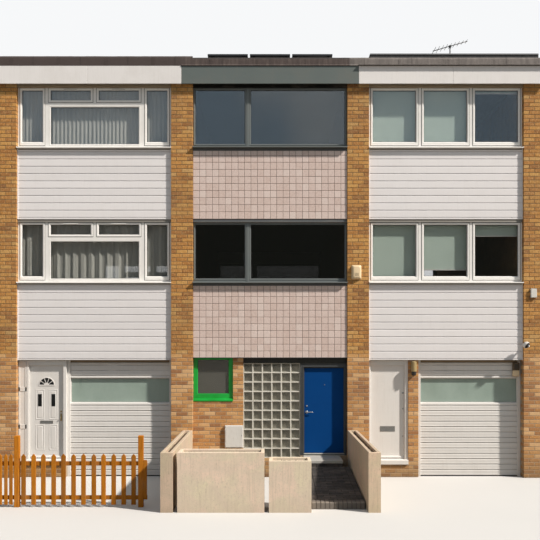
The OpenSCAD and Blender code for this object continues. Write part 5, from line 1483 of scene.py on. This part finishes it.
def upstand(felt):
    x0, x1, d0, d1, z0, z1 = span("roof_upstand")
    lean, e, lap = 0.260, 0.012, 0.07
    outline = ((x0, z0), (x1, z0), (x1, z1), (x0 + lean, z1))
    shape = Shape()
    shape.add([(x, d, z) for d in (d0, d1) for x, z in outline],
              [[0, 1, 2, 3], [7, 6, 5, 4], [0, 4, 5, 1], [1, 5, 6, 2], [2, 6, 7, 3], [3, 7, 4, 0]])
    shape.box((x0 + lean - 0.02, d0 - e, z1 - 0.035), (x1, d1 + e, z1), 0.006, 0.8, 1)
    for x in np.arange(x0 + lean + 0.6, x1 - 0.2, 0.9):
        shape.box((x, d0 - 0.003, z0), (x + lap, d0 + 0.01, z1 - 0.035), 0.001, 0.3)
    trim = frame_paint("roof_trim", (0.16, 0.16, 0.165), (0.12, 0.115, 0.11), 0.5, 0.4, 0.4)
    shape.piece("Roof_Upstand", [felt, trim], slot="kerb_felt")


def solar_panels():
    low_x, high_x, d0, d1, base, top = span("solar_panels")
    gap, thick, edge, margin, columns, rows, foot = 0.045, 0.040, 0.03, 0.04, 5, 10, 0.040
    width, z = (high_x - low_x - 2 * gap) / 3, top - thick
    cw, ch = (width - 2 * margin) / columns, (d1 - d0 - 2 * margin) / rows
    shape = Shape()
    for k in range(3):
        x0 = low_x + k * (width + gap)
        x1 = x0 + width
        for a, b, c, d in ((x0, x1, d0, d0 + edge), (x0, x1, d1 - edge, d1), (x0, x0 + edge, d0 + edge, d1 - edge),
                           (x1 - edge, x1, d0 + edge, d1 - edge)):
            shape.box((a, c, z), (b, d, top), 0.002, 0.6, 1)
        shape.box((x0 + edge, d0 + edge, z + 0.008), (x1 - edge, d1 - edge, top - 0.006), 0.001, 0.5, 2)
        for c, r in product(range(columns), range(rows)):
            a, b = x0 + margin + c * cw, d0 + margin + r * ch
            shape.box((a + 0.002, b + 0.002, top - 0.007), (a + cw - 0.002, b + ch - 0.002, top - 0.0045), 0.0008,
                      (c * 7 + r * 3) % 5 / 5)
        for x in (x0 + 0.060, x1 - 0.100):
            for d in (d0 + 0.060, d1 - 0.100):
                shape.box((x, d, base), (x + foot, d + foot, z), 0.003, 0.5, 1)
                shape.box((x - 0.02, d - 0.02, base), (x + 0.06, d + 0.06, base + 0.008), 0.002, 0.4, 1)
            shape.box((x + 0.004, d0 + 0.05, z - 0.03), (x + 0.036, d1 - 0.05, z), 0.002, 0.5, 1)
    p = Paint("solar_cells", Roughness=0.12, Coat_Weight=0.6, Coat_Roughness=0.05)
    line = p.sums("FRACT", p.times(p.axis("X"), 1 / 0.032))
    blue = p.mix(p.tone, (0.006, 0.009, 0.022), (0.012, 0.018, 0.045))
    cells = p.done(p.layers(blue, ((0.16, 0.17, 0.18), line, 0.95, 0.97)))
    alloy = plain_paint("panel_alloy", (0.022, 0.024, 0.028), 0.45, 0.3)
    sheet = plain_paint("panel_back", (0.05, 0.05, 0.055), 0.5)
    shape.piece("Solar_Panels", [cells, alloy, sheet], slot="solar_glass")


def aerial():
    """Boom aerial: mast in its foot plate, clamp, rods with end caps, and their plastic grips."""
    alloy = plain_paint("aerial_alloy", (0.33, 0.33, 0.33), 0.42, 0.8)
    plastic = plain_paint("aerial_plastic", (0.035, 0.035, 0.035), 0.55)
    x, d, base = PITCH + 0.430, 1.500, span("tv_aerial")[4]
    mast, boom_l, rods, tilt = 1.050, 0.820, 9, math.radians(74)
    shape = Shape()
    foot_plate = [(0, 0.060), (0.008, 0.060), (0.010, 0.058), (0.012, 0.024), (0.050, 0.022), (0.052, 0.016)]
    shape.turned((x, d, base), (0, 0, 1), foot_plate, 32)
    shape.turned((x, d, base + 0.01), (0, 0, 1), [(0, 0.0155), (mast - 0.014, 0.0155), (mast - 0.010, 0.012)], 24)
    along, centre = Vector((math.sin(tilt), 0, math.cos(tilt))), Vector((x, d, base + mast - 0.020))
    shape.turned(centre - along * boom_l / 2, along,
                 [(0, 0.0085), (0.002, 0.0098), (boom_l - 0.002, 0.0098), (boom_l, 0.0085)], 16)
    shape.box((x - 0.028, d - 0.024, centre.z - 0.030), (x + 0.028, d + 0.024, centre.z + 0.014), 0.004, 0.4, 1)
    for k in range(rods):
        at = centre + along * (k / (rods - 1) - 0.5) * (boom_l - 0.050)
        length = 0.420 - 0.026 * k
        shape.turned((at.x, at.y - length / 2, at.z), (0, 1, 0),
                     [(0, 0.004), (0.001, 0.005), (length - 0.001, 0.005), (length, 0.004)], 12)
        shape.turned((at.x, at.y - 0.012, at.z), (0, 1, 0),
                     [(0, 0.009), (0.001, 0.0098), (0.023, 0.0098), (0.024, 0.009)], 12, 0.5, 1)
    shape.piece("TV_Aerial", [alloy, plastic], slot="aerial_metal", smooth=40)


# Wall fittings

LOUVRES = 5


def ball(r, start, stop, share=1.0):
    """Profile of a ball's zone between two angles from its equator, in steps of 14 degrees."""
    turns = [math.radians(t) for t in range(start, stop, 14)]
    return [(r * share * math.sin(turn), r * share * math.cos(turn)) for turn in turns]


def dome(shape):
    """Dome camera: base plate, arm, white hood and a dark globe that looks down and out."""
    x, out, z, r, arm = PITCH + HALF + 0.020, 0.120, 2.765, 0.075, 0.015
    gaze, hood = Vector((0.55, -0.62, -0.55)).normalized(), ball(r, -86, 13)
    base_plate = [(0, 2 * arm), (0.011, 2 * arm), (0.015, 2 * arm - 0.004), (0.015, arm)]
    shape.turned((x + 2 * arm, 0, z), (0, -1, 0), base_plate, 32, 0.7)
    shape.turned((x + 2 * arm, 0, z), (0, -1, 0), [(0.010, arm), (out, arm)])
    hood += [(hood[-1][0] + 0.002, r * 0.95), (hood[-1][0] - 0.004, r * 0.86)]
    for profile, sides, tone, part in ((ball(r, -60, 87, 0.8), 32, 0.4, 2), (hood, 36, 0.9, 0),
                                       ([(r * 0.72, r * 0.34), (r * 0.80, r * 0.30), (r * 0.82, r * 0.2)], 24, 0.5, 1)):
        shape.turned((x, -out, z), gaze, profile, sides, tone, part)


def meter_box(shape):
    """Meter box in the corner by the glass blocks: raised door, lock and hinges."""
    w, h, z, face = 0.385, 0.470, 0.620, PANEL - 0.060
    x1 = span("glass_block_screen")[0]
    x0, lock, inset = x1 - w, z + h * 0.55, 0.045
    shape.box((x0, face + 0.014, z), (x1, PANEL, z + h), 0.004)
    shape.box((x0 + 0.012, face, z + 0.012), (x1 - 0.012, face + 0.016, z + h - 0.012), 0.005, 0.9)
    shape.ring((x0 + inset, z + inset, x1 - inset, z + h - inset),
               [(0, face - 0.0005), (-0.004, face + 0.003), (-0.010, face + 0.003)], 0.4, closed=False)
    shape.box((x0 + 0.055, face + 0.0005, z + 0.055), (x1 - 0.055, face + 0.01, z + h - 0.055), 0.002, 0.8)
    knob(shape, x1 - 0.030, face, lock, 0.012, 0.004, 1)
    shape.box((x1 - 0.0325, face - 0.0046, lock - 0.008), (x1 - 0.0275, face - 0.002, lock + 0.008), 0.0008, 0.3, 2)
    for up in (0.07, 0.36):
        shape.turned((x0 + 0.006, face + 0.006, z + up), (0, 0, 1), [(0, 0.005), (0.05, 0.005)], 12)


def junction_box(shape):
    """Small box high on the right pier, with four screws and a cable gland."""
    w, h, out, z = 0.125, 0.188, 0.050, 3.754
    x = span("wall_boxes")[1] - w / 2
    shape.box((x - w / 2, 0.022 - out, z), (x + w / 2, 0, z + h), 0.006, 0.6)
    shape.box((x - w / 2 + 0.001, 0.0005 - out, z + 0.001), (x + w / 2 - 0.001, 0.024 - out, z + h - 0.001),
              0.007, 0.9)
    for side, up in product((-0.048, 0.048), (0.018, h - 0.018)):
        knob(shape, x + side, 0.0008 - out, z + up, 0.006, 0.0006, 1)
    shape.turned((x, -out / 2, z + 0.004), (0, 0, -1), [(0, 0.013), (0.002, 0.013), (0.0035, 0.010)], 6, 0.5, 2)


def alarm_box(looks):
    """Bell box: a rounded, domed cover with louvres and a screw."""
    x0, x1, _, _, z0, z1 = span("alarm_box")
    x, z, corner, sides = (x0 + x1) / 2, (z0 + z1) / 2, 0.030, 6
    steps = ((0.002, 0.0), (0, 0.003), (0, 0.010), (0.006, 0.026), (0.018, 0.048), (0.030, 0.063), (0.038, 0.068),
             (0.048, 0.070))
    points = []
    for (inset, out), (sx, sz, turn), k in product(steps, ((1, 1, 0), (-1, 1, 90), (-1, -1, 180), (1, -1, 270)),
                                                   range(sides + 1)):
        t = math.radians(turn + 90 * k / sides)
        points.append((x + sx * ((x1 - x0) / 2 - inset - corner) + corner * math.cos(t), -out,
                       z + sz * ((z1 - z0) / 2 - inset - corner) + corner * math.sin(t)))
    n, shape = 4 * (sides + 1), Shape()
    last = (len(steps) - 1) * n
    shape.add(points, grid(len(steps), n, True) + [[last + i for i in range(n)]], 0.7)
    for k in range(LOUVRES):
        low = z - 0.075 + k * 0.012
        shape.box((x - 0.045, -0.0705, low), (x + 0.045, -0.066, z - 0.070 + k * 0.012), 0.001, 0.2, 1)
    knob(shape, x, -0.069, z0 + 0.040, 0.005, 0.0008, 2)
    shape.piece("Alarm_Box", looks, slot="cream_box", smooth=35)


def wall_lamps(looks):
    """Round lamp on the narrow pier, and the square sensor light beside the right door."""
    low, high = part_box("narrow_pier")
    x, d, z, shape = (low.x + high.x) / 2, PANEL - 0.0575, 2.130, Shape()
    globe = [(0.085, 0.046), (0.086, 0.054), (0.090, 0.0572), (0.098, 0.0565), (0.270, 0.0565), (0.288, 0.055),
             (0.295, 0.047), (0.299, 0.030), (0.300, 0.010)]
    holder = [(0, 0.018), (0.002, 0.030), (0.014, 0.043), (0.040, 0.0470), (0.085, 0.0472), (0.088, 0.044)]
    shape.turned((x, d, z), (0, 0, 1), globe, 40, 0.8)
    for k in range(3):
        shape.turned((x, d, z + 0.120 + k * 0.060), (0, 0, 1),
                     [(0, 0.0560), (0.001, 0.0574), (0.004, 0.0574), (0.005, 0.0560)], 40)
    shape.turned((x, d, z), (0, 0, 1), holder, 32, 0.5, 1)
    shape.box((x - 0.028, d, z + 0.003), (x + 0.028, PANEL, z + 0.084), 0.005, 0.5, 1)
    x1, back, z0, z1 = span("wall_lamps")[1], 0.205, 2.110, 2.400
    x0, front = x1 - 0.145, back - 0.075
    shape.box((x0 + 0.004, front + 0.030, z0 + 0.004), (x1 - 0.004, back, z1), 0.005, 0.4, 3)
    shape.box((x0 + 0.012, front + 0.010, z0 + 0.135), (x1, front + 0.036, z1 - 0.003), 0.008, 0.9, 3)
    shape.box((x0, front, z0), (x1 - 0.010, front + 0.060, z0 + 0.128), 0.010, 0.9, 2)
    for k in range(LOUVRES):
        shape.box((x0 + 0.030, front + 0.007, z0 + 0.155 + k * 0.022),
                  (x1 - 0.020, front + 0.014, z0 + 0.165 + k * 0.022), 0.002, 0.5, 1)
    shape.piece("Wall_Lamps", looks, slot="cream_box", smooth=35)


def fittings(metal, rubber):
    cover = frame_paint("meter_box_white", (0.70, 0.685, 0.655), (0.42, 0.38, 0.33), 0.5, 0.0, 0.4)
    cream = frame_paint("cream_plastic", (0.78, 0.61, 0.385), (0.50, 0.385, 0.25), 0.42, 0.0, 0.35)
    shade = frame_paint("lamp_cream", (0.37, 0.275, 0.125), (0.25, 0.18, 0.09), 0.35, 0.0, 0.3)
    black = plain_paint("lamp_black", (0.025, 0.024, 0.023), 0.5)
    brown = frame_paint("box_brown", (0.10, 0.066, 0.036), (0.07, 0.05, 0.03), 0.45, 0.0, 0.4)
    shape = Shape()
    for fitting in (meter_box, junction_box, dome):
        fitting(shape)
    shape.piece("Wall_Boxes", [cover, metal, rubber], slot="white_box", smooth=32)
    alarm_box([cream, rubber, metal])
    wall_lamps([shade, black, cream, brown])


# Curtains and blinds

BLIND_DROPS = {"Lower": (1.0, 0.82, 0.20), "Upper": (1.0, 1.0, 0.035)}
NET_FOLDS = {"Lower": (17, 0.020), "Upper": (38, 0.010)}
CLOTH_STEP, CLOTH_ROWS = 0.012, 12
NET_DEPTH, NET_IN, RAIL_R, RAIL_PAST = 0.232, 0.03, 0.010, 0.004
BLIND_DEPTH, BLIND_PAST, ROLLER_DOWN, ROLLER_DEPTH, ROLLER_R, ROLLER_PAST = 0.2145, 0.06, 0.030, 0.235, 0.020, 0.012


def hang(name, look, x0, x1, top, drop, d, folds, deep, rail, rng):
    """A hung sheet with folds that grow towards its foot."""
    columns = max(8, int((x1 - x0) / CLOTH_STEP))
    phases = [rng.uniform(0, 2 * math.pi) for _ in range(4)]

    def ripple(x, down):
        if not folds:
            return 0.0012 * math.sin(3 * math.pi * down)
        s = (x - x0) / max(x1 - x0, 1e-6)
        wave = math.sin(2 * math.pi * folds * s + phases[0] + 0.7 * math.sin(2 * math.pi * 1.7 * s + phases[1]))
        wave += 0.35 * math.sin(2 * math.pi * folds * 2.3 * s + phases[2])
        return deep * wave * (0.55 + 0.45 * down)

    points = []
    for r, c in product(range(CLOTH_ROWS + 1), range(columns + 1)):
        x, down = x0 + (x1 - x0) * c / columns, r / CLOTH_ROWS
        points.append((x, d + ripple(x, down), top - drop * down))
    shape, width = Shape(), columns + 1
    shape.add(points, grid(CLOTH_ROWS + 1, width, flip=True), 0.6)
    made = shape.piece(name, look, smooth=70)


def curtains():
    net = cloth_paint("net_cloth", (0.55, 0.56, 0.52), 0.0016, 0.74)
    pale = cloth_paint("pale_blind_cloth", (0.56, 0.69, 0.62), 0.0011)
    rail_look, rng = plain_paint("rail_white", (0.70, 0.69, 0.66), 0.4), random.Random(77)
    for level, z in zip(("Lower", "Upper"), SILLS):
        x, top, name = HOUSES["left"], z + WINDOW_H - 0.012, f"Left_{level}_Curtain_Rail"
        rail = Shape()
        rail.turned((x - HALF - RAIL_PAST, NET_DEPTH, top + 0.008), (1, 0, 0),
                    [(0, RAIL_R), (2 * HALF + 2 * RAIL_PAST, RAIL_R)], 16)
        rail.piece(name, rail_look, smooth=40)
        hang(f"Left_{level}_Net_Curtain", net, x - HALF + NET_IN, x + HALF - NET_IN, top, WINDOW_H - 0.06, NET_DEPTH,
             *NET_FOLDS[level], name, rng)
        for k, (a, b) in enumerate(light_columns("right")):
            name, top = f"Right_{level}_Blind_{k + 1}", z + WINDOW_H - ROLLER_DOWN
            left, right = HOUSES["right"] + a - BLIND_PAST, HOUSES["right"] + b + BLIND_PAST
            roller = Shape()
            roller.turned((left - ROLLER_PAST, ROLLER_DEPTH, top), (1, 0, 0),
                          [(0, ROLLER_R), (right - left + 2 * ROLLER_PAST, ROLLER_R)], 20)
            brackets = ((0.210, 0.260, 0.056), (0.160, 0.220, 0.016))
            for end, (d0, d1, down) in product((left - 0.014, right + 0.010), brackets):
                roller.box((end, d0, z + WINDOW_H - down), (end + 0.004, d1, z + WINDOW_H - 0.004), 0.001)
            roller.piece(name + "_Roller", rail_look, smooth=40)
            drop = (WINDOW_H - 0.130) * BLIND_DROPS[level][k]
            hang(name, pale, left, right, top, drop, BLIND_DEPTH, 0, 0, name + "_Roller", rng)
            bar, foot = Shape(), top - drop
            bar.box((left, 0.210, foot - 0.022), (right, 0.219, foot + 0.002), 0.003, 0.7)
            bar.piece(name + "_Bar", rail_look)


# CAD nodes that keep their shape


def repaint(nodes, look):
    """Gives CAD nodes another material."""
    for node in nodes:
        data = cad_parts[node].data
        if not data.materials:
            data.materials.append(look)
        for k in range(len(data.materials)):
            data.materials[k] = look


def cad_looks():
    floor = concrete_paint("floor_concrete", (0.45, 0.43, 0.40), (0.34, 0.32, 0.30), (0.25, 0.23, 0.21))
    render = concrete_paint("inner_render", (0.60, 0.585, 0.56), (0.52, 0.50, 0.475), (0.42, 0.40, 0.37), 0.1, 0.1)
    boards = wood_paint("floor_boards", (0.42, 0.27, 0.15), (0.28, 0.16, 0.08), "Y")
    deck = felt_paint("deck_felt", (0.20, 0.195, 0.19), 0.98, (0.27, 0.26, 0.25))
    for nodes, look in ((["ground_floors"], floor), (["panel_walls"], render), (["garage_glass"], frosted_paint()),
                        (["first_floors", "second_floors"], boards), (["roof_deck"], deck)):
        repaint(nodes, look)


# The whole row

brickwork = [brick_paint(), mortar_paint()]
rubber_look = plain_paint("black_gasket", (0.02, 0.02, 0.021), 0.7)
metal_look = plain_paint("satin_metal", (0.55, 0.55, 0.55), 0.35, 0.9, 0.05)
enamel_look = board_paint("white_door_paint", (0.74, 0.72, 0.695), (0.42, 0.38, 0.33), 0.16, 0.22, 0.34)
shiplap()
tiles()
cross_walls(brickwork)
infill_brickwork(brickwork)
windows(frame_paint("white_frame", (0.89, 0.875, 0.85), (0.50, 0.47, 0.42), 0.28, 0.0, 0.16),
        frame_paint("dark_frame", (0.165, 0.185, 0.185), (0.16, 0.155, 0.14), 0.42, 0.15, 0.25),
        rubber_look, metal_look)
cad_looks()
side_looks = [enamel_look, rubber_look, metal_look, plain_paint("grey_plate", (0.33, 0.33, 0.32), 0.36, 0.7, 0.08),
              glass_paint("door_glass", (0.03, 0.035, 0.04), 0.9, 0.05),
              plain_paint("worn_brass", (0.55, 0.42, 0.20), 0.35, 0.9, 0.1)]
side_door("left", side_looks)
side_door("right", side_looks)
middle_door(board_paint("blue_door_paint", (0.0003, 0.050, 0.205), (0.001, 0.032, 0.12), 0.12, 0.15, 0.55, 0.1),
            frame_paint("grey_steel_frame", (0.050, 0.055, 0.058), (0.09, 0.083, 0.073), 0.5, 0.1, 0.35),
            rubber_look, metal_look)
garages(enamel_look, rubber_look)
green_window(rubber_look)
glass_blocks()
lintel()
planters()
entrance()
picket_fence()
fascias()
roof_kerbs(felt_paint("kerb_felt", (0.075, 0.056, 0.052), 0.98, (0.13, 0.102, 0.09), (0.185, 0.165, 0.155)))
soffit()
trims()
upstand(felt_paint("upstand_felt", (0.040, 0.041, 0.043), 0.9, (0.07, 0.07, 0.07)))
solar_panels()
aerial()
fittings(metal_look, rubber_look)
curtains()


# Floor, light and camera

SUN_SIDE, SUN_UP, SUN_SPREAD = 63.4, 40.9, 2.5
SUN_STRENGTH, SUN_COLOUR = 5.39, (1.0, 0.93, 0.84)
SKY_STRENGTH, SKY_COLOUR = 0.365, (0.87, 0.95, 1.03)
BACKDROP, FLOOR_BOUNCE = (0.93, 0.94, 0.95), (0.22, 0.20, 0.17)
CAMERA_AT, LENS, SHIFT = (-0.043, FACE - 16.0, 2.75), 51.2, (0.0037, 0.1407)


def floor():
    """Pale floor. What it throws back on the walls is darker than what the camera sees of it."""
    bpy.ops.mesh.primitive_plane_add(size=400, location=(0, 0, 0))
    plane = bpy.context.object
    plane.name = "Floor"
    p = Paint("pale_floor", Roughness=0.9)
    seen = p.mix(p.noise(0.6, 3), (0.60, 0.595, 0.585), (0.62, 0.615, 0.605))
    plane.data.materials.append(p.done(p.mix(p.seen(), FLOOR_BOUNCE, seen)))


def sun():
    light = bpy.data.lights.new("Sun", "SUN")
    light.energy, light.angle, light.color = SUN_STRENGTH, math.radians(SUN_SPREAD), SUN_COLOUR
    lamp = bpy.data.objects.new("Sun", light)
    bpy.context.scene.collection.objects.link(lamp)
    side, up = math.radians(SUN_SIDE), math.radians(SUN_UP)
    towards = Vector((math.cos(up) * math.sin(side), -math.cos(up) * math.cos(side), math.sin(up)))
    lamp.rotation_euler = towards.to_track_quat("Z", "Y").to_euler()


def sky():
    """Even light. Glass mirrors soft cloud above a dark edge, and the camera sees a pale backdrop."""
    world = bpy.data.worlds.new("Sky")
    bpy.context.scene.world = world
    world.use_nodes = True
    s = Nodes(world.node_tree, "Generated")
    cloud = s.ramp(s.noise(5.0, 5.0, 0.5), (0.45, (0.37, 0.47, 0.57)), (0.68, (0.70, 0.72, 0.73)))
    mirrored = s.mix(s.fade(s.axis("Z"), 0.165, 0.235), (0.035, 0.036, 0.03), cloud, clamp=False)
    even = s.add("Background", {"Color": SKY_COLOUR, "Strength": SKY_STRENGTH})
    light = s.add("MixShader", {0: s.add("LightPath", {}, "Is Glossy Ray"), 1: even,
                                2: s.add("Background", {"Color": mirrored})})
    light = s.add("MixShader", {0: s.seen(), 1: light, 2: s.add("Background", {"Color": BACKDROP})})
    output = next(n for n in world.node_tree.nodes if n.type == "OUTPUT_WORLD")
    s.put(output.inputs["Surface"], light)


def camera():
    lens = bpy.data.cameras.new("Camera")
    lens.lens, lens.sensor_width, lens.clip_end = LENS, 36, 500
    lens.shift_x, lens.shift_y = SHIFT
    eye = bpy.data.objects.new("Camera", lens)
    eye.location = CAMERA_AT
    eye.rotation_euler = (math.radians(90), 0, 0)
    bpy.context.scene.collection.objects.link(eye)
    bpy.context.scene.camera = eye


bpy.context.scene.view_settings.view_transform = "Standard"
floor()
sun()
sky()
camera()
